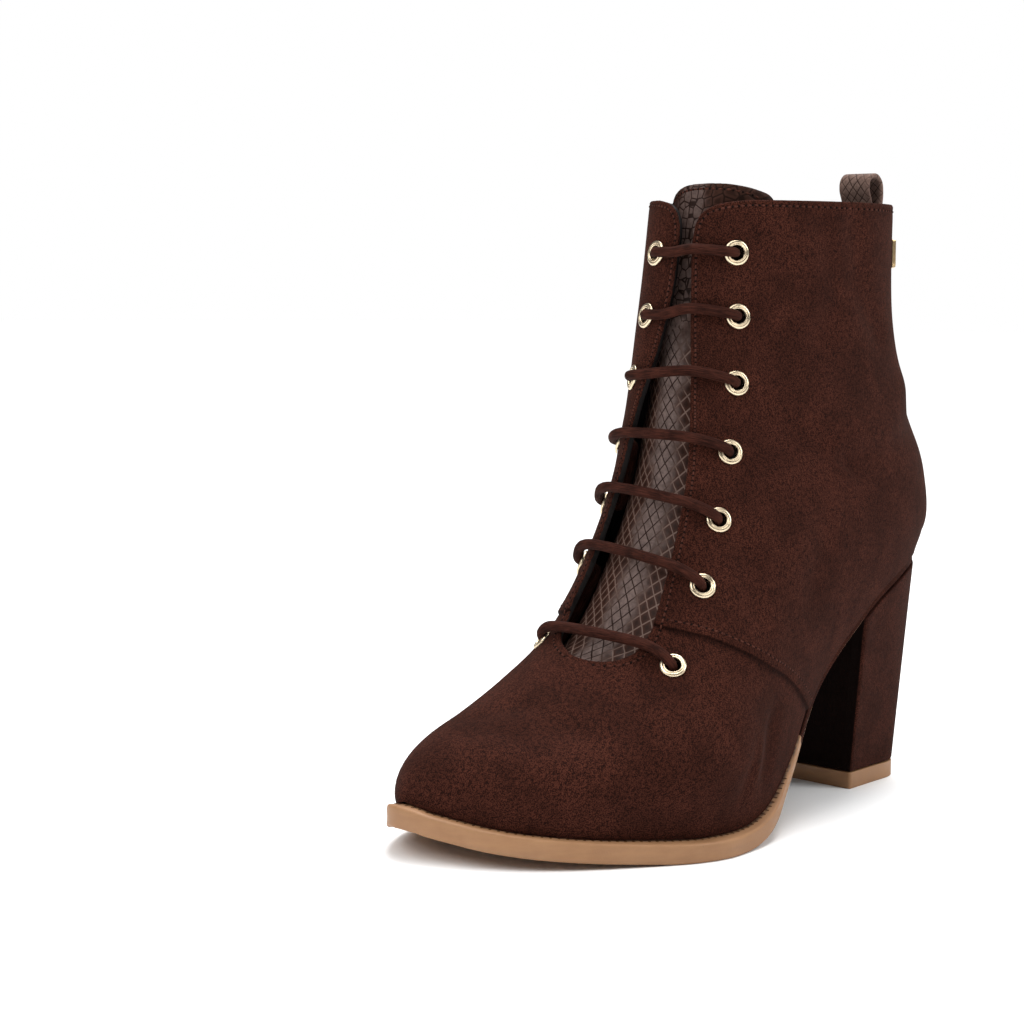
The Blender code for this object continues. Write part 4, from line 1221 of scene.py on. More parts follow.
    def build(self) -> None:
        """Make the skin."""
        free = self.free_edge()
        spots = self.places().values()
        holes = [LAST.to_chart(LAST.ring(u, v, self.hole, self.hole_sides)) for u, v in spots]
        insets = (0.25, 0.6, 1.1, self.stitch_inset - 0.7, self.stitch_inset, self.stitch_inset + 0.7)
        region = Region(self.outline(free), holes, self.seam_lines(), free, self.spacing, insets)
        uv, faces, distance = region.triangles()
        chart = LAST.to_chart(uv)
        near, rolled = rounded(distance, self.roll)
        groove = self.groove_depth * np.exp(-((distance - self.stitch_inset) / self.groove_width) ** 2)
        sink = self.sink(chart) * np.clip(distance / self.crease_fade, 0.0, 1.0)
        outer = self.raised(uv[:, 0], uv[:, 1]) - rolled - groove - sink
        inner = -self.wall + 0.35 * near - sink
        piece = thick_sheet("upper_skin", uv, faces, outer, inner)
        self.paint_seam_shadow(piece)
        smooth(piece, 50.0)
        dress(piece, [SUEDE, BLACK_LINING, BLACK_LINING], "suede", "upper")

    def paint_seam_shadow(self, piece: bpy.types.Object) -> None:
        """Paint the shadow line on the vamp where the quarter's edge steps over it."""
        corners = np.empty(len(piece.data.loops), int)
        piece.data.loops.foreach_get("vertex_index", corners)
        maps = np.empty(2 * len(corners))
        piece.data.uv_layers[SURFACE].data.foreach_get("uv", maps)
        chart = np.zeros((len(piece.data.vertices), 2))
        chart[corners] = maps.reshape(-1, 2)[:, ::-1] / MM
        station = self.seam_station(LAST.from_chart(chart)[:, 1])
        ahead = chart[:, 0] - np.interp(station, LAST.chart_u, LAST.chart_p)
        start, end, strength = self.seam_shadow
        mark = ((ahead > start) & (ahead < end)) * strength
        piece.data.attributes.new(SHADE_AND_DIRT, "FLOAT", "POINT").data.foreach_set("value", mark)

    def stitch_rows(self) -> list:
        """Chart paths of the stitch rows on the outside."""
        free = self.free_edge()
        side = left_of(free)
        row = free + side * self.stitch_inset
        if inside(row, self.outline(free)).mean() < 0.5:
            row = free - side * self.stitch_inset
        rows = [row[nearest(row, free) > CLEAR * self.stitch_inset]]
        for way in Side:
            v = np.linspace(0.19, 0.985, 90) * way.value
            seam = LAST.to_chart(np.stack([self.seam_station(v), v], 1))
            rows.append(seam + (self.seam_inset / self.lap_scale, 0.0))
        return rows

    def build_stitches(self) -> None:
        """Make the rows of stitches as one piece."""
        free = self.free_edge()
        rows = []
        for row in self.stitch_rows():
            path = resample(row, STITCHING.pitch)
            uv = LAST.from_chart(path)
            normal = LAST.normal(uv[:, 0], uv[:, 1])
            sink = self.sink(path) * np.clip(nearest(path, free) / self.crease_fade, 0.0, 1.0)
            lift = self.raised(uv[:, 0], uv[:, 1]) - sink - self.stitch_sink
            rows.append((LAST.point(uv[:, 0], uv[:, 1]) + normal * lift[:, None], normal))
        STITCHING.sew("upper_stitches", rows)


@dataclass
class Tongue:
    """Embossed tongue under the throat, standing over the collar."""

    rows: tuple = (
        (4.55, 9.0, 2.0, 2.0), (4.70, 17.0, -7.0, 2.1), (5.10, 22.0, -13.0, 2.7), (5.60, 24.0, -17.0, 4.6),
        (6.20, 24.5, -19.0, 6.2), (8.00, 23.5, -21.5, 6.2), (11.00, 25.0, -18.5, 6.2),
        (13.00, 26.0, -15.0, 6.2), (14.50, 27.0, -13.5, 6.2), (15.00, 26.5, -12.0, 6.2),
        (15.18, 23.5, -8.5, 6.2), (15.29, 17.5, -2.0, 6.2), (15.33, 10.0, 4.5, 6.2),
    )
    thick: float = 1.6
    mesh_step: float = 0.6
    across: float = 4.6
    along: float = 5.2
    relief: float = 0.07
    roll: float = 0.6
    rim: float = 2.4
    rim_thin: float = 0.3
    # Columns of the mesh, from medial to lateral
    reach: tuple = (-24.0, 29.0)
    pillow_fade: float = 1.5
    stitch_inset: float = 1.9
    sewn: float = 26.0

    def stations(self) -> tuple:
        """Stations of the mesh rows and how far up the tongue each lies."""
        fine = np.linspace(self.rows[0][0], self.rows[-1][0], 1500)
        middle = LAST.point(fine, LAST.girth(fine, np.full_like(fine, 3.0)))
        walk = walked(middle)
        rim = walk[-1] - self.rim
        at = np.concatenate([np.arange(0.0, rim, self.mesh_step), np.linspace(rim, walk[-1], 13)])
        return np.interp(at, walk, fine), at

    def build(self) -> None:
        """Make the tongue."""
        u, run = self.stations()
        shape = smooth_rows(self.rows, 12)
        lateral, medial, depth = (table(shape, u, k) for k in (1, 2, 3))
        columns = np.arange(*self.reach, self.mesh_step)
        out = np.clip(columns[None, :], medial[:, None], lateral[:, None])
        grid_u = np.repeat(u[:, None], len(columns), axis=1)
        girth = LAST.girth(grid_u, out)
        base = LAST.point(grid_u, girth)
        normal = LAST.normal(grid_u, girth)
        edge = np.minimum(out - medial[:, None], lateral[:, None] - out)
        edge = np.minimum(edge, (run[-1] - run)[:, None] * 1.2)
        near, rolled = rounded(edge, self.roll)
        a = out / self.across + run[:, None] / self.along
        b = out / self.across - run[:, None] / self.along
        swell = [1.0 - np.abs(2.0 * (w - np.floor(w)) - 1.0) ** 3 for w in (a, b)]
        pillow = self.relief * swell[0] * swell[1] * np.clip(edge / self.pillow_fade, 0.0, 1.0)
        face = base + normal * (pillow - rolled - depth[:, None])[..., None]
        back = base - normal * (depth[:, None] + self.thick - self.rim_thin * near)[..., None]
        uv = np.stack([out, np.repeat(run[:, None], len(columns), axis=1)], -1) * MM
        rows, count = out.shape
        number = np.arange(rows * count).reshape(rows, count)
        quads = np.stack([number[:-1, :-1], number[:-1, 1:], number[1:, 1:], number[1:, :-1]], -1)
        quads = quads.reshape(-1, 4)
        shift = rows * count
        rim = np.concatenate([number[:, 0], number[-1, 1:], number[-2::-1, -1], number[0, -2:0:-1]])
        ring = [(int(i), int(j), int(j) + shift, int(i) + shift) for i, j in zip(rim, np.roll(rim, -1))]
        faces = quads.tolist() + (quads[:, ::-1] + shift).tolist() + ring
        points = place(np.concatenate([face.reshape(-1, 3), back.reshape(-1, 3)]))
        piece = mesh_piece("tongue_leather", points, faces, np.concatenate([uv.reshape(-1, 2)] * 2))
        kinds = [Face.OUTER.value] * len(quads) + [Face.INNER.value] * len(quads)
        kinds += [Face.RIM.value] * len(ring)
        piece.data.polygons.foreach_set("material_index", kinds)
        close_up(piece, 0.02)
        smooth(piece, 55.0)
        dress(piece, [SCALES, BLACK_LINING, CUT_EDGE], "scaled_leather", "tongue")

    def build_stitches(self) -> None:
        """Make the row of stitches along the top edge."""
        u, run = self.stations()
        shape = smooth_rows(self.rows, 12)
        high = run > run[-1] - self.sewn
        lateral, medial = (np.stack([table(shape, u, k), run], 1)[high] for k in (1, 2))
        edge = np.concatenate([lateral, medial[::-1]])
        row = edge + left_of(edge) * self.stitch_inset
        row = resample(row[nearest(row, edge) > CLEAR * self.stitch_inset], STITCHING.pitch)
        at = np.interp(row[:, 1], run, u)
        girth = LAST.girth(at, row[:, 0])
        normal = LAST.normal(at, girth)
        rise = self.relief - table(shape, at, 3)
        STITCHING.sew("tongue_stitches", [(LAST.point(at, girth) + normal * rise[:, None], normal)])


@dataclass
class Lacing:
    """Cord in seven bars through fourteen rolled eyelets."""

    radius: float = 1.74
    pinch: float = 0.16
    sides: int = 20
    depth: float = 4.0
    dip: float = 0.5
    in_ring: float = 0.5
    over_ring: float = 2.2
    over_upper: float = 1.85
    ring_steps: int = 48
    # Ring section: radius and height over the upper
    section: tuple = (
        (2.42, 0.40), (2.47, 0.70), (2.62, 0.88), (2.85, 0.92), (3.03, 0.84), (3.11, 0.72), (3.22, 0.82),
        (3.48, 0.86), (3.82, 0.76), (4.10, 0.54), (4.22, 0.28), (4.20, 0.05), (2.95, 0.05), (2.95, -1.9),
        (2.42, -1.9),
    )

    def path(self, upper: Upper, places: dict) -> Array:
        """Middle line of the cord, in millimetres of the last."""
        line = []
        for row in range(len(upper.eyelets), 0, -1):
            order = (Side.LATERAL, Side.MEDIAL) if row % 2 else (Side.MEDIAL, Side.LATERAL)
            bar = []
            for side in order:
                u, v = places[(side, row)]
                centre = LAST.point(u, v)
                normal = LAST.normal(u, v)
                lift = float(upper.raised(u, v))
                edge = upper.throat_edge(side, u)
                ends = [centre + normal * rise for rise in (-self.depth - 0.5, -1.9, lift + self.in_ring)]
                inwards = LAST.point(u, edge) - centre
                inwards = unit(inwards - normal * normal.dot(inwards))
                ends.append(centre + normal * (lift + self.over_ring) + inwards * 2.6)
                ends.append(LAST.point(u, edge) + LAST.normal(u, edge) * (lift + self.over_upper))
                bar += ends if side is order[0] else ends[::-1]
            line += bar
            if row > 1:
                u, v = places[(order[1], row)]
                up_u, up_v = places[(order[1], row - 1)]
                depth = self.depth + (self.dip if row == len(upper.eyelets) else 0.0)
                for t in (0.25, 0.5, 0.75):
                    at = (u + (up_u - u) * t, v + (up_v - v) * t)
                    line.append(LAST.point(*at) - LAST.normal(*at) * depth)
        return np.array(line)

    def build_cord(self, upper: Upper, places: dict) -> None:
        """Make the cord with its lengthwise ridges.

        Args:
            upper: the upper that it lies on.
            places: eyelets by side and row.
        """
        soft = resample(smooth_rows(self.path(upper, places), 14), 0.9)
        for _ in range(8):
            soft[1:-1] = 0.5 * soft[1:-1] + 0.25 * (soft[2:] + soft[:-2])
        eyes = np.array([LAST.point(*at) for at in places.values()])
        slope = unit(np.gradient(soft, axis=0))
        side = unit(np.cross(slope[0], (0.3, 0.2, 1.0)))
        turns = np.linspace(0.0, 2 * pi, self.sides, endpoint=False)
        rings, maps = [], []
        walk = walked(soft)
        for k in range(len(soft)):
            side = unit(side - slope[k] * slope[k].dot(side))
            other = np.cross(slope[k], side)
            twist = 0.012 * walk[k]
            ripple = 1.0 + 0.022 * np.cos(5 * turns + twist) + 0.016 * np.cos(3 * turns - 0.4 * twist)
            near = np.min(np.linalg.norm(eyes - soft[k], axis=1))
            reach = self.radius * (1.0 - self.pinch * np.exp(-(near / 3.0) ** 2)) * ripple[:, None]
            rings.append(soft[k] + reach * (np.outer(np.cos(turns), side) + np.outer(np.sin(turns), other)))
            around = np.abs(turns - pi) * self.radius
            maps.append(np.stack([around, np.full_like(around, walk[k])], 1) * MM)
        piece = loft("lace_cord", np.array(rings), np.array(maps))
        smooth(piece, 60.0)
        dress(piece, [CORD], "suede_cord", "lace")

    def ring_mesh(self) -> bpy.types.Mesh:
        """One rolled ring about its own Z axis, spun from its section."""
        mesh = bpy.data.meshes.new("ring_section")
        corners = [(radius * MM, 0.0, rise * MM) for radius, rise in self.section]
        count = len(corners)
        mesh.from_pydata(corners, [(i, (i + 1) % count) for i in range(count)], [])
        piece = new_object("ring_section", mesh)
        take(piece)
        bpy.ops.object.mode_set(mode="EDIT")
        bpy.ops.mesh.select_all(action="SELECT")
        bpy.ops.mesh.spin(steps=self.ring_steps, angle=2 * pi, center=(0.0, 0.0, 0.0), axis=(0.0, 0.0, 1.0))
        bpy.ops.mesh.select_all(action="SELECT")
        bpy.ops.mesh.remove_doubles(threshold=1e-6)
        bpy.ops.mesh.normals_make_consistent(inside=False)
        bpy.ops.object.mode_set(mode="OBJECT")
        smooth(piece, 60.0)
        result = piece.data.copy()
        bpy.data.objects.remove(piece)
        return result

    def build_rings(self, upper: Upper, places: dict) -> None:
        """Make the fourteen rings, each with its own mesh.

        Args:
            upper: the upper that they sit in.
            places: eyelets by side and row.
        """
        pattern = self.ring_mesh()
        for (side, row), (u, v) in places.items():
            name = f"{side.name.lower()}_{row}"
            mesh = pattern.copy()
            centre = LAST.point(u, v) + LAST.normal(u, v) * float(upper.raised(u, v))
            spot = place(centre)
            way = Vector(place(centre + LAST.normal(u, v)) - spot)
            turn = way.to_track_quat("Z", "Y").to_matrix().to_4x4()
            mesh.transform(Matrix.Translation(Vector(spot)) @ turn)
            dress(new_object(f"ring_{name}", mesh), [GOLD], "pale_gold", f"eyelet_{name}")


@dataclass
class Sole:
    """Outsole with its ledge, insole, wrapped heel and lift."""

    welt: tuple = (
        (0.0, 4.0, 4.0), (1.5, 3.6, 3.0), (3.5, 3.9, 3.0), (5.0, 5.7, 2.8), (5.6, 4.5, 2.2), (6.3, 3.1, 1.2),
        (7.2, 1.0, -0.2), (9.0, 0.1, -0.2), (11.0, 0.3, 0.3),
    )
    thick: tuple = ((0.0, 6.4), (5.3, 5.8), (6.3, 5.6), (7.5, 3.6), (9.0, 3.0), (11.0, 3.0))
    under: float = 0.45
    gap: float = 0.3
    bevel: float = 0.9
    core: float = 6.0
    # Width of the painted shade and dirt along the upper's edge on the ledge
    dirt_reach: float = 1.4
    waist: float = 7.4
    waist_line: float = 0.6
    tip_ease: float = 2.5
    tip_drop: float = 0.6
    insole_inset: float = 3.4
    insole_thick: float = 2.4
    insole_round: float = 0.8
    breast: float = 8.97
    foot: tuple = (
        (24.0, 49.3), (23.0, 41.0), (21.9, 32.0), (21.1, 24.2), (19.8, 19.4), (17.0, 16.4), (9.0, 14.8),
        (0.0, 14.4),
    )
    centre: float = 0.3
    head_out: float = 0.6
    # Faces turned further forward than this get the dark suede: painted shade on the heel's breast
    breast_turn: float = 0.70
    heel_round: float = 2.2
    lift: float = 5.8
    mark_pitch: float = 2.6
    mark_out: float = 0.55
    # Length, width and thickness of a mark
    mark_size: tuple = (1.5, 1.0, 0.3)

    def stations(self) -> Array:
        """Stations of the rings, closer at the tip and the heel's back."""
        t = np.linspace(0.0, 1.0, 26)
        tip = 1.2 * t ** 2
        back = LAST.heel - (1.0 - np.sin(t * pi / 2))
        return np.concatenate([tip, np.linspace(1.2, 10.0, 110)[1:-1], back])

    def edge(self, u: Array, side: Side) -> tuple:
        """Feather line of one side.

        Args:
            u: stations, tip to back.
            side: which side.

        Returns:
            Points (x, along), outward directions and ledge widths.
        """
        line = LAST.point(u, side.value)[:, :2]
        slope = np.gradient(line, axis=0)
        slope[0] = (side.value, 0.0)
        slope[-1] = (-side.value, 0.0)
        slope = unit(slope)
        out = np.stack([-slope[:, 1], slope[:, 0]], 1) * side.value
        rows = tuple(smooth_rows(self.welt))
        return line, out, table(rows, u, 1 if side is Side.LATERAL else 2)

    def outline(self, u: Array) -> list:
        """Outer line of the ledge on both sides, with the corners at the tip eased.

        Args:
            u: stations, tip to back.

        Returns:
            For each side its points (x, along), outward directions, ledge widths and feather points.
        """
        sides = [self.edge(u, side) for side in Side]
        rims = [line + out * push[:, None] for line, out, push in sides]
        walks = [walked(rim) for rim in rims]
        path = np.concatenate([rims[1][:0:-1], rims[0]])
        walk = np.concatenate([-walks[1][:0:-1], walks[0]])
        even = np.arange(-60.0, 60.0, 0.25)
        kernel = np.exp(-0.5 * (np.arange(-10.0, 10.1, 0.25) / self.tip_ease) ** 2)
        kernel /= kernel.sum()
        soft = np.stack([np.convolve(np.interp(even, walk, path[:, k]), kernel, "same") for k in (0, 1)], 1)
        slope = unit(np.gradient(soft, axis=0))
        lines = []
        for (line, out, push), rim, at in zip(sides, rims, (walks[0], -walks[1])):
            share = np.clip((40.0 - np.abs(at)) / 15.0, 0.0, 1.0)[:, None]
            spot = np.stack([np.interp(at, even, soft[:, k]) for k in (0, 1)], 1)
            turn = np.stack([-np.interp(at, even, slope[:, 1]), np.interp(at, even, slope[:, 0])], 1)
            lines.append((rim + share * (spot - rim), unit(out + share * (turn - out)), push, line))
        return lines

    def heights(self, u: Array) -> tuple:
        """Heights of the outsole's top and bottom at stations."""
        base = LAST.column("base_height", u)
        marks = np.arange(0.0, 5.0)
        rise = np.stack([LAST.column("base_along", marks), LAST.column("base_height", marks)], 1)
        rise[0, 1] -= self.tip_drop
        rise = smooth_rows(rise, 12)[::-1]
        eased = np.interp(LAST.column("base_along", u), rise[:, 0], rise[:, 1])
        top = base + np.clip(2.0 - u, 0.0, 1.0) * (eased - base) - self.gap
        rows = tuple(smooth_rows(self.thick))
        return top, np.maximum(top - table(rows, u) - self.under, 0.0)

    def build_outsole(self) -> None:
        """Make the outsole with rounded edges."""
        u = self.stations()
        top, low = self.heights(u)
        centre = LAST.column("centre", u)
        lines = self.outline(u)
        turns = np.linspace(0.0, pi / 2, 5)
        rings = []
        for i in range(len(u)):
            radius = min(self.bevel, 0.4 * (top[i] - low[i]))
            ring = []
            for k, (rim, out, push, line) in enumerate(lines):
                room = 0.9 * abs(line[i][0] - centre[i]) / max(abs(out[i][0]), 0.01)
                room = self.core if i in (0, len(u) - 1) else room
                half = [(-self.core, top[i])]
                half += [(min(reach - push[i], -radius - 0.02), top[i]) for reach in (0.0, self.dirt_reach)]
                half += [(radius * (sin(t) - 1.0), top[i] - radius * (1.0 - cos(t))) for t in turns]
                half += [(-0.12, 0.5 * (top[i] + low[i]))]
                half += [(radius * (cos(t) - 1.0), low[i] + radius * (1.0 - sin(t))) for t in turns]
                half += [(-self.core, low[i])]
                points = [(*(rim[i] + out[i] * max(inward, -room)), rise) for inward, rise in half]
                ring += points if k == 0 else points[::-1]
            rings.append(ring)
        piece = loft("outsole_gum", np.array(rings))
        smooth(piece, 45.0)
        self.mark_outsole(piece, np.concatenate([line for _, _, _, line in lines]))
        dress(piece, [GUM, SUEDE, SHADE_SUEDE], "gum", "outsole")

    def mark_outsole(self, piece: bpy.types.Object, feather: Array) -> None:
        """Cover the waist's side with suede and its underside with dark suede as painted shade, and mark
        painted shade with dirt along the upper's edge.

        Args:
            piece: the outsole.
            feather: points (x, along) of the feather line.
        """
        fine = np.linspace(0.0, LAST.heel, 600)
        top, low = self.heights(fine)
        along = LAST.column("base_along", fine)[::-1]
        corners = np.array([tuple(corner.co) for corner in piece.data.vertices]) / MM
        at = ORIGIN_ALONG - corners[:, 1]
        on_top = corners[:, 2] > np.interp(at, along, top[::-1]) - 0.25
        near = nearest(np.stack([corners[:, 0] + ORIGIN_X, at], 1), feather)
        # Painted shade and dirt, fading out from the upper's edge on the ledge's top
        dirt = np.clip(1.0 - near / self.dirt_reach, 0.0, 1.0) * on_top
        piece.data.attributes.new(SHADE_AND_DIRT, "FLOAT", "POINT").data.foreach_set("value", dirt)
        waist, breast = (float(LAST.column("base_along", np.array(u))) for u in (self.waist, self.breast))
        kinds = []
        for face in piece.data.polygons:
            middle = np.array(face.center) / MM
            spot = ORIGIN_ALONG - middle[1]
            rise = middle[2] - float(np.interp(spot, along, low[::-1]))
            # The waist's underside gets the dark suede: painted shade
            under = face.normal.z < -0.5 and abs(face.normal.x) < 0.3
            side = rise > self.waist_line or spot < breast
            kinds.append(0 if spot > waist else 2 if under else int(side))
        piece.data.polygons.foreach_set("material_index", kinds)

    def build_insole(self) -> None:
        """Make the insole inside the upper."""
        u = self.stations()[2:-2]
        floor = LAST.column("base_height", u)
        rings = []
        sides = [self.edge(self.stations(), side) for side in Side]
        for i in range(len(u)):
            ring = []
            for k, (line, out, _) in enumerate(sides):
                edge = line[i + 2] - out[i + 2] * self.insole_inset
                soft = edge - out[i + 2] * self.insole_round
                rise = floor[i] + self.insole_thick
                half = [(*soft, rise), (*edge, rise - self.insole_round), (*edge, floor[i])]
                ring += half if k == 0 else half[::-1]
            rings.append(ring)
        piece = loft("insole_cloth", np.array(rings))
        smooth(piece, 50.0)
        dress(piece, [INSOLE_CLOTH], "lining", "insole")

    def foot_half(self, count: int) -> Array:
        """Half outline of the heel's foot, breast to back (out, along), evenly spaced."""
        path = smooth_rows(self.foot, 12)
        walk = walked(path)
        return picked(path, walk, np.linspace(0.0, walk[-1], count))

    def foot_loop(self, height: float, count: int = 40) -> Array:
        """Closed outline of the heel's foot at a height."""
        half = self.foot_half(count)
        lateral = np.stack([self.centre + half[:, 0], half[:, 1], np.full(count, height)], 1)
        medial = np.stack([self.centre - half[:, 0], half[:, 1], np.full(count, height)], 1)
        return self.heel_loop(lateral, medial)

    def head_loop(self, count: int = 40) -> Array:
        """Closed outline of the heel's head under the seat."""
        fine = np.concatenate([np.linspace(self.breast, 10.5, 300), np.linspace(10.5, LAST.heel, 900)[1:]])
        halves = []
        for side in Side:
            line, out, _ = self.edge(fine, side)
            low = self.heights(fine)[1] - self.gap
            path = np.column_stack([line + out * self.head_out, low])
            walk = walked(path[:, :2])
            halves.append(picked(path, walk, np.linspace(0.0, walk[-1], count)))
        return self.heel_loop(*halves)

    def heel_loop(self, lateral: Array, medial: Array, count: int = 14) -> Array:
        """Closed outline from the two halves, with a row of points across the breast."""
        t = np.linspace(0.0, 1.0, count)[1:-1, None]
        breast = medial[0] * (1 - t) + lateral[0] * t
        return np.concatenate([lateral, medial[-2::-1], breast])

    def build_heel(self) -> None:
        """Make the wrapped block, its breast in dark suede as painted shade."""
        foot = self.foot_loop(self.lift + self.gap)
        head = self.head_loop()
        rings = np.array([foot * (1 - t) + head * t for t in np.linspace(0.0, 1.0, 30)])
        maps = np.stack([np.repeat(walked(head)[None], len(rings), axis=0), rings[..., 2]], -1) * MM
        piece = loft("heel_wrap", rings, maps)
        round_edges(piece, self.heel_round, self.bevel)
        smooth(piece, 40.0)
        # Painted shade: the breast's faces get the dark suede
        kinds = [int(face.normal.y < -self.breast_turn) for face in piece.data.polygons]
        piece.data.polygons.foreach_set("material_index", kinds)
        dress(piece, [HEEL_SUEDE, SHADE_SUEDE], "suede", "heel")

    def build_lift(self) -> None:
        """Make the bare lift under the heel."""
        rings = np.array([self.foot_loop(height) for height in (0.0, self.lift * 0.5, self.lift)])
        piece = loft("lift_gum", rings)
        round_edges(piece, self.heel_round, 0.5 * self.bevel)
        smooth(piece, 40.0)
        dress(piece, [GUM], "gum", "heel_top_lift")

    def build_marks(self) -> None:
        """Make the row of dark marks where the ledge meets the upper."""
        u = np.linspace(0.02, 6.9, 900)
        spots, ways = [], []
        for side in Side:
            line, out, _ = self.edge(np.concatenate([[0.0], u]), side)
            path = np.column_stack([line[1:] + out[1:] * self.mark_out, self.heights(u)[0]])
            walk = walked(path)
            at = np.arange(0.5 * self.mark_pitch, walk[-1], self.mark_pitch)
            spots.append(picked(path, walk, at))
            ways.append(unit(np.column_stack([picked(out[1:], walk, at), np.zeros(len(at))])))
        spot = np.concatenate(spots)
        up = np.repeat([[0.0, 0.0, 1.0]], len(spot), axis=0)
        points, faces = capsules(spot, np.concatenate(ways), up, *self.mark_size)
        piece = mesh_piece("ledge_marks", place(points), faces, points[:, :2] * MM)
        close_up(piece, 0.001)
        smooth(piece, 60.0)
        dress(piece, [NOTCH], "suede_cord")


@dataclass
class Trim:
    """Loop over the back of the collar and the plate beside the back seam."""

    loop_path: tuple = (
        (14.6, 188.0), (14.7, 195.0), (14.7, 201.0), (15.8, 205.0), (17.2, 208.5), (17.0, 211.8),
        (15.0, 213.6), (11.8, 213.6), (9.6, 211.4), (9.0, 207.5), (9.3, 203.9),
    )
    loop_thick: float = 1.7
    loop_half: float = 6.5
    loop_edge: float = 0.7
    plate_stations: tuple = (14.43, 14.67)
    plate_girth: tuple = (0.815, 0.955)
    plate_thick: float = 1.2
    plate_base: float = 1.2
    plate_corner: float = 0.9
    plate_round: float = 0.45

    def build_loop(self) -> None:
        """Make the strap of the loop with soft edges."""
        path = resample(smooth_rows(self.loop_path, 12), 0.7)
        side = left_of(path)
        middle = float(LAST.column("centre", LAST.collar))
        across = np.linspace(-self.loop_half, self.loop_half, 23)
        near = np.clip((np.abs(across) - (self.loop_half - self.loop_edge)) / self.loop_edge, 0.0, 1.0)
        swell = 0.5 * self.loop_thick * np.sqrt(1.0 - 0.92 * near ** 2)
        walk = walked(path)
        rings, maps = [], []
        for k in range(len(path)):
            far = [(middle + x, *(path[k] + side[k] * s)) for x, s in zip(across, swell)]
            back = [(middle + x, *(path[k] - side[k] * s)) for x, s in zip(across, swell)]
            rings.append(far + back[::-1])
            flat = [(x, walk[k]) for x in across]
            maps.append(flat + flat[::-1])
        piece = loft("loop_strap", np.array(rings), np.array(maps) * MM)
        smooth(piece, 50.0)
        dress(piece, [LOOP_SCALES], "scaled_leather", "pull_loop")

    def build_plate(self) -> None:
        """Make the bare plate with rounded corners and edges."""
        low, high = self.plate_stations
        near, far = self.plate_girth
        chart = LAST.to_chart([(low, near), (high, far)])
        (p0, q0), (p1, q1) = chart.min(axis=0), chart.max(axis=0)
        radius = self.plate_corner
        loop = []
        for (p, q), first in (((p1, q1), 0.0), ((p1, q0), 1.5 * pi), ((p0, q0), pi), ((p0, q1), 0.5 * pi)):
            inner_p = p - radius * np.sign(p - 0.5 * (p0 + p1))
            inner_q = q - radius * np.sign(q - 0.5 * (q0 + q1))
            for t in np.linspace(0.5 * pi, 0.0, 6) + first:
                loop.append((inner_p + radius * cos(t), inner_q + radius * sin(t)))
        free = resample(np.array(loop + loop[:1]), 0.5)
        region = Region(free[:-1], [], [], free, 1.0, (0.2, self.plate_round))
        uv, faces, distance = region.triangles()
        outer = self.plate_base + self.plate_thick - rounded(distance, self.plate_round)[1]
        piece = thick_sheet("plate_bare", uv, faces, outer, np.full(len(uv), self.plate_base))
        piece.data.polygons.foreach_set("material_index", [0] * len(piece.data.polygons))
        smooth(piece, 50.0)
        dress(piece, [PLATE_GOLD], "pale_gold", "back_plate")


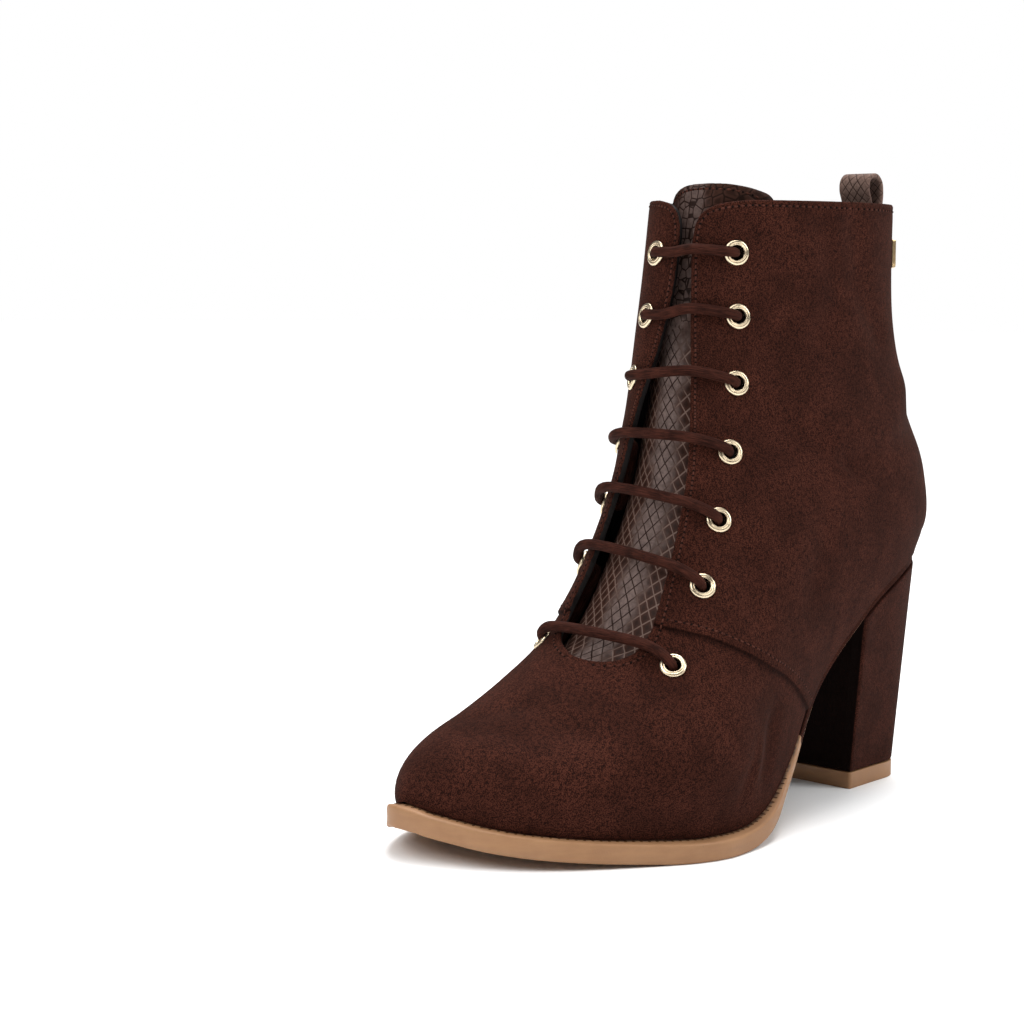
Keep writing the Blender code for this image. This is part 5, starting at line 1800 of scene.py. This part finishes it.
@dataclass
class Zip:
    """Tape, two rows of teeth, slider and hanging pull tab on the medial side."""

    upper: Upper
    half_tape: float = 7.6
    tape_gap: float = 0.6
    tape_thick: float = 0.8
    chain_gap: float = 0.3
    # Length and width of a tooth, its place off the middle and its tilt
    tooth: tuple = (2.7, 0.95)
    tooth_out: float = 0.95
    tooth_tilt: float = 0.28
    chain_thick: float = 1.5
    gap: float = 0.3
    tape_top: float = 201.5
    tape_low: float = 76.5
    chain_top: float = 201.0
    chain_low: float = 84.0
    pitch: float = 1.5
    slider_height: float = 188.0
    # Slider's body, ridge, two legs and bridge: size, place up and out, and rounding
    slider_blocks: tuple = (
        ((6.4, 10.0, 2.0), 0.0, 1.0, 0.7), ((3.0, 7.2, 0.8), -0.4, 2.1, 0.35),
        ((1.6, 1.6, 3.6), 3.4, 2.8, 0.4), ((1.6, 1.6, 3.6), -3.4, 2.8, 0.4), ((1.6, 8.4, 1.4), 0.0, 4.7, 0.5),
    )
    pull_rise: float = 3.0
    pull_thick: float = 1.3
    pull_half: float = 2.6
    pull_length: float = 25.2
    pull_arm: float = 7.4
    pull_round: float = 0.45

    @property
    def face(self) -> float:
        """Offset of the tape's outside from the last."""
        return -self.upper.wall - self.tape_gap

    @property
    def base(self) -> float:
        """Offset of the slider's underside from the last."""
        return self.face + self.chain_gap + self.chain_thick + self.gap

    def build_tape(self) -> None:
        """Make the woven tape."""
        heights = np.linspace(self.tape_top, self.tape_low, 60)
        offsets = np.linspace(-self.half_tape, self.half_tape, 9)
        lines = [self.upper.zip_path(offset, heights) for offset in offsets]
        outer, inner, maps = [], [], []
        for offset, line in zip(offsets, lines):
            point = LAST.point(line[:, 0], line[:, 1])
            normal = LAST.normal(line[:, 0], line[:, 1])
            outer.append(point + normal * self.face)
            inner.append(point + normal * (self.face - self.tape_thick))
            maps.append(np.stack([np.full(len(heights), offset), heights], 1) * MM)
        rings = np.concatenate([np.array(outer), np.array(inner)[::-1]]).transpose(1, 0, 2)
        uv = np.concatenate([np.array(maps), np.array(maps)[::-1]]).transpose(1, 0, 2)
        piece = loft("tape_woven", rings, uv)
        smooth(piece, 40.0)
        dress(piece, [TAPE], "tape", "zip_tape")

    def build_teeth(self) -> None:
        """Make the two meshed rows of teeth as one piece."""
        heights = np.arange(self.chain_top - 0.8, self.chain_low + 0.8, -self.pitch / 2)
        middle = self.upper.zip_path(0.0, heights)
        point = LAST.point(middle[:, 0], middle[:, 1])
        normal = LAST.normal(middle[:, 0], middle[:, 1])
        run = unit(np.gradient(point, axis=0))
        across = unit(np.cross(run, normal))
        side = np.where(np.arange(len(heights)) % 2 == 0, 1.0, -1.0)[:, None]
        lift = self.face + self.chain_gap + 0.5 * self.chain_thick
        spots = point + normal * lift + across * side * self.tooth_out
        tilt = unit(across * side + run * self.tooth_tilt)
        outs = unit(normal - tilt * np.sum(normal * tilt, axis=1, keepdims=True))
        points, faces = capsules(spots, tilt, outs, *self.tooth, self.chain_thick)
        piece = mesh_piece("zip_teeth", place(points), faces)
        close_up(piece, 0.001)
        smooth(piece, 50.0)
        dress(piece, [GUNMETAL], "gunmetal", "zip_chain")

    def seat(self) -> Matrix:
        """Matrix from slider axes (across, up, out) in metres to the frame."""
        u, v = self.upper.zip_path(0.0, [self.slider_height])[0]
        point, normal, level, up = LAST.axes(u, v)
        origin = place(point)
        columns = [(place(point + way) - origin) / MM for way in (level, up, normal)]
        matrix = Matrix(np.stack(columns, 1).tolist()).to_4x4()
        matrix.translation = origin.tolist()
        return matrix

    def block(self, size: tuple, middle: tuple, bevel: float) -> bpy.types.Object:
        """A box with rounded edges in slider axes, in millimetres."""
        deselect_all()
        bpy.ops.mesh.primitive_cube_add(size=1.0, location=tuple(m * MM for m in middle))
        piece = bpy.context.object
        bpy.ops.object.mode_set(mode="EDIT")
        bpy.ops.mesh.select_all(action="SELECT")
        bpy.ops.transform.resize(value=tuple(s * MM for s in size))
        bpy.ops.object.mode_set(mode="OBJECT")
        take(piece)
        bpy.ops.object.transform_apply(location=True, rotation=True, scale=True)
        apply_modifier(piece, "BEVEL", width=bevel * MM, segments=3)
        return piece

    def join(self, name: str, pieces: list) -> bpy.types.Object:
        """Join pieces into one with a name."""
        deselect_all()
        for piece in pieces:
            piece.select_set(True)
        bpy.context.view_layer.objects.active = pieces[0]
        bpy.ops.object.join()
        pieces[0].name = name
        pieces[0].data.name = name
        return pieces[0]

    def taper(self, piece: bpy.types.Object, pivot: float, rate: float) -> None:
        """Widen or narrow a piece across by a rate per millimetre above a pivot height."""
        for corner in piece.data.vertices:
            corner.co.x *= 1.0 + rate * (corner.co.y / MM - pivot)

    def settle(self, piece: bpy.types.Object) -> None:
        """Move a piece from slider axes to its seat, inside its mesh."""
        piece.data.transform(self.seat())
        close_up(piece, 0.0005)
        smooth(piece, 40.0)

    def build_slider(self) -> None:
        """Make the slider with its bridge."""
        blocks = []
        for size, up, out, bevel in self.slider_blocks:
            blocks.append(self.block(size, (0.0, up, self.base + out), bevel))
        self.taper(blocks[0], 2.5, 0.035)
        piece = self.join("slider_metal", blocks)
        self.settle(piece)
        dress(piece, [GUNMETAL], "gunmetal", "zip_slider")

    def build_pull(self) -> None:
        """Make the hanging pull: a crossbar under the bridge, two arms and a blade with a sunk panel."""
        rise = self.base + self.pull_rise
        thick = self.pull_thick
        half = self.pull_half
        arm = self.pull_arm
        soft = self.pull_round
        parts = [self.block((2 * half, thick, thick), (0.0, 0.0, rise), soft)]
        for side in (-1.0, 1.0):
            middle = (side * (half - 0.5 * thick), -0.5 * arm + 0.3, rise)
            parts.append(self.block((thick, arm + 0.6, thick), middle, soft))
        top, low = -arm + 0.9, -self.pull_length
        blade = self.block((2 * half, top - low, thick), (0.0, 0.5 * (top + low), rise), soft)
        self.taper(blade, low, -0.012)
        take(blade)
        bpy.ops.object.mode_set(mode="EDIT")
        bpy.ops.mesh.select_all(action="DESELECT")
        bpy.ops.object.mode_set(mode="OBJECT")
        for face in blade.data.polygons:
            face.select = face.normal.z > 0.95
        bpy.ops.object.mode_set(mode="EDIT")
        bpy.ops.mesh.inset(thickness=0.75 * MM)
        bpy.ops.mesh.extrude_region_shrink_fatten(TRANSFORM_OT_shrink_fatten={"value": -0.3 * MM})
        bpy.ops.object.mode_set(mode="OBJECT")
        piece = self.join("pull_metal", parts + [blade])
        self.settle(piece)
        dress(piece, [GUNMETAL], "gunmetal", "zip_pull", body="zip_pull")


@dataclass
class Studio:
    """Camera, soft lights and pale floor."""

    lens: float = 79.65
    sensor: float = 36.0
    target: Colour = (-0.1024, 0.0108, 0.09104)
    azimuth: float = 44.89
    elevation: float = 5.54
    distance: float = 0.82643
    roll: float = 0.70
    floor_half: float = 9.0
    surround_light: float = 0.24
    surround_seen: float = 1.0
    # Softboxes: place they stand round, then azimuth, elevation, distance, size and power of each
    boxes_middle: Colour = (0.0, 0.0, 0.09)
    boxes: tuple = (
        (-6.0, 42.0, 1.7, 1.1, 18.0), (118.0, 34.0, 1.8, 0.9, 16.0), (40.0, 76.0, 1.8, 1.2, 13.0),
    )
    # Even daylight over the floor: azimuth, elevation, strength and softness in degrees
    daylight: tuple = (212.0, 66.0, 3.1, 32.0)

    def axes(self, azimuth: float, elevation: float) -> Vector:
        """Direction from the target to a place round it."""
        a, e = radians(azimuth), radians(elevation)
        return Vector((sin(a) * cos(e), -cos(a) * cos(e), sin(e)))

    def set_camera(self) -> None:
        """Put the camera at the photograph's angle."""
        data = bpy.data.cameras.new("camera")
        data.lens = self.lens
        data.sensor_width = self.sensor
        data.clip_start = 0.01
        data.clip_end = 60.0
        camera = new_object("camera", data)
        back = self.axes(self.azimuth, self.elevation)
        right = Vector((cos(radians(self.azimuth)), sin(radians(self.azimuth)), 0.0))
        up = back.cross(right)
        c, s = cos(radians(self.roll)), sin(radians(self.roll))
        right, up = right * c + up * s, up * c - right * s
        matrix = Matrix((right, up, back)).transposed().to_4x4()
        matrix.translation = Vector(self.target) + back * self.distance
        camera.matrix_world = matrix
        bpy.context.scene.camera = camera

    def hang(self, name: str, kind: str, way: Vector, **settings: float) -> bpy.types.Object:
        """New light that shines from a direction.

        Args:
            name: its name.
            kind: light type.
            way: direction from the boot to the light.
            settings: the light's properties by name.

        Returns:
            The light.
        """
        data = bpy.data.lights.new(name, kind)
        for key, value in settings.items():
            setattr(data, key, value)
        light = new_object(name, data)
        light.rotation_euler = way.to_track_quat("Z", "Y").to_euler()
        return light

    def set_lights(self) -> None:
        """Put up the softboxes and the daylight."""
        for number, (azimuth, elevation, distance, size, power) in enumerate(self.boxes, start=1):
            way = self.axes(azimuth, elevation)
            box = self.hang(f"softbox_{number}", "AREA", way, size=size, energy=power)
            box.location = Vector(self.boxes_middle) + way * distance
        azimuth, elevation, strength, softness = self.daylight
        self.hang("daylight", "SUN", self.axes(azimuth, elevation), energy=strength, angle=radians(softness))

    def set_surround(self) -> None:
        """Hang the white surround, seen brighter than it lights."""
        world = bpy.data.worlds.new("surround")
        world.use_nodes = True
        tree = world.node_tree
        light = tree.nodes["Background"]
        light.inputs["Strength"].default_value = self.surround_light
        seen = tree.nodes.new("ShaderNodeBackground")
        seen.inputs["Strength"].default_value = self.surround_seen
        for shade in (light, seen):
            shade.inputs["Color"].default_value = (1.0, 1.0, 1.0, 1.0)
        path = tree.nodes.new("ShaderNodeLightPath")
        mix = tree.nodes.new("ShaderNodeMixShader")
        tree.links.new(path.outputs["Is Camera Ray"], mix.inputs[0])
        tree.links.new(light.outputs[0], mix.inputs[1])
        tree.links.new(seen.outputs[0], mix.inputs[2])
        tree.links.new(mix.outputs[0], tree.nodes["World Output"].inputs["Surface"])
        bpy.context.scene.world = world
        bpy.context.scene.view_settings.view_transform = "Standard"

    def set_floor(self) -> None:
        """Lay the floor."""
        deselect_all()
        bpy.ops.mesh.primitive_grid_add(x_subdivisions=8, y_subdivisions=8, size=2 * self.floor_half)
        floor = bpy.context.object
        floor.name = "floor"
        floor.data.materials.append(PALE_FLOOR.material())


def main() -> None:
    """Build the studio and every sub-assembly in order."""
    logging.basicConfig(level=logging.INFO, format="%(name)s %(message)s")
    studio = Studio()
    studio.set_camera()
    studio.set_lights()
    studio.set_surround()
    studio.set_floor()
    upper = Upper()
    upper.build()
    upper.build_stitches()
    tongue = Tongue()
    tongue.build()
    tongue.build_stitches()
    places = upper.places()
    lacing = Lacing()
    lacing.build_cord(upper, places)
    lacing.build_rings(upper, places)
    sole = Sole()
    sole.build_outsole()
    sole.build_insole()
    sole.build_heel()
    sole.build_lift()
    sole.build_marks()
    trim = Trim()
    trim.build_loop()
    trim.build_plate()
    closure = Zip(upper)
    closure.build_tape()
    closure.build_teeth()
    closure.build_slider()
    closure.build_pull()
    deselect_all()


if __name__ == "__main__":
    main()
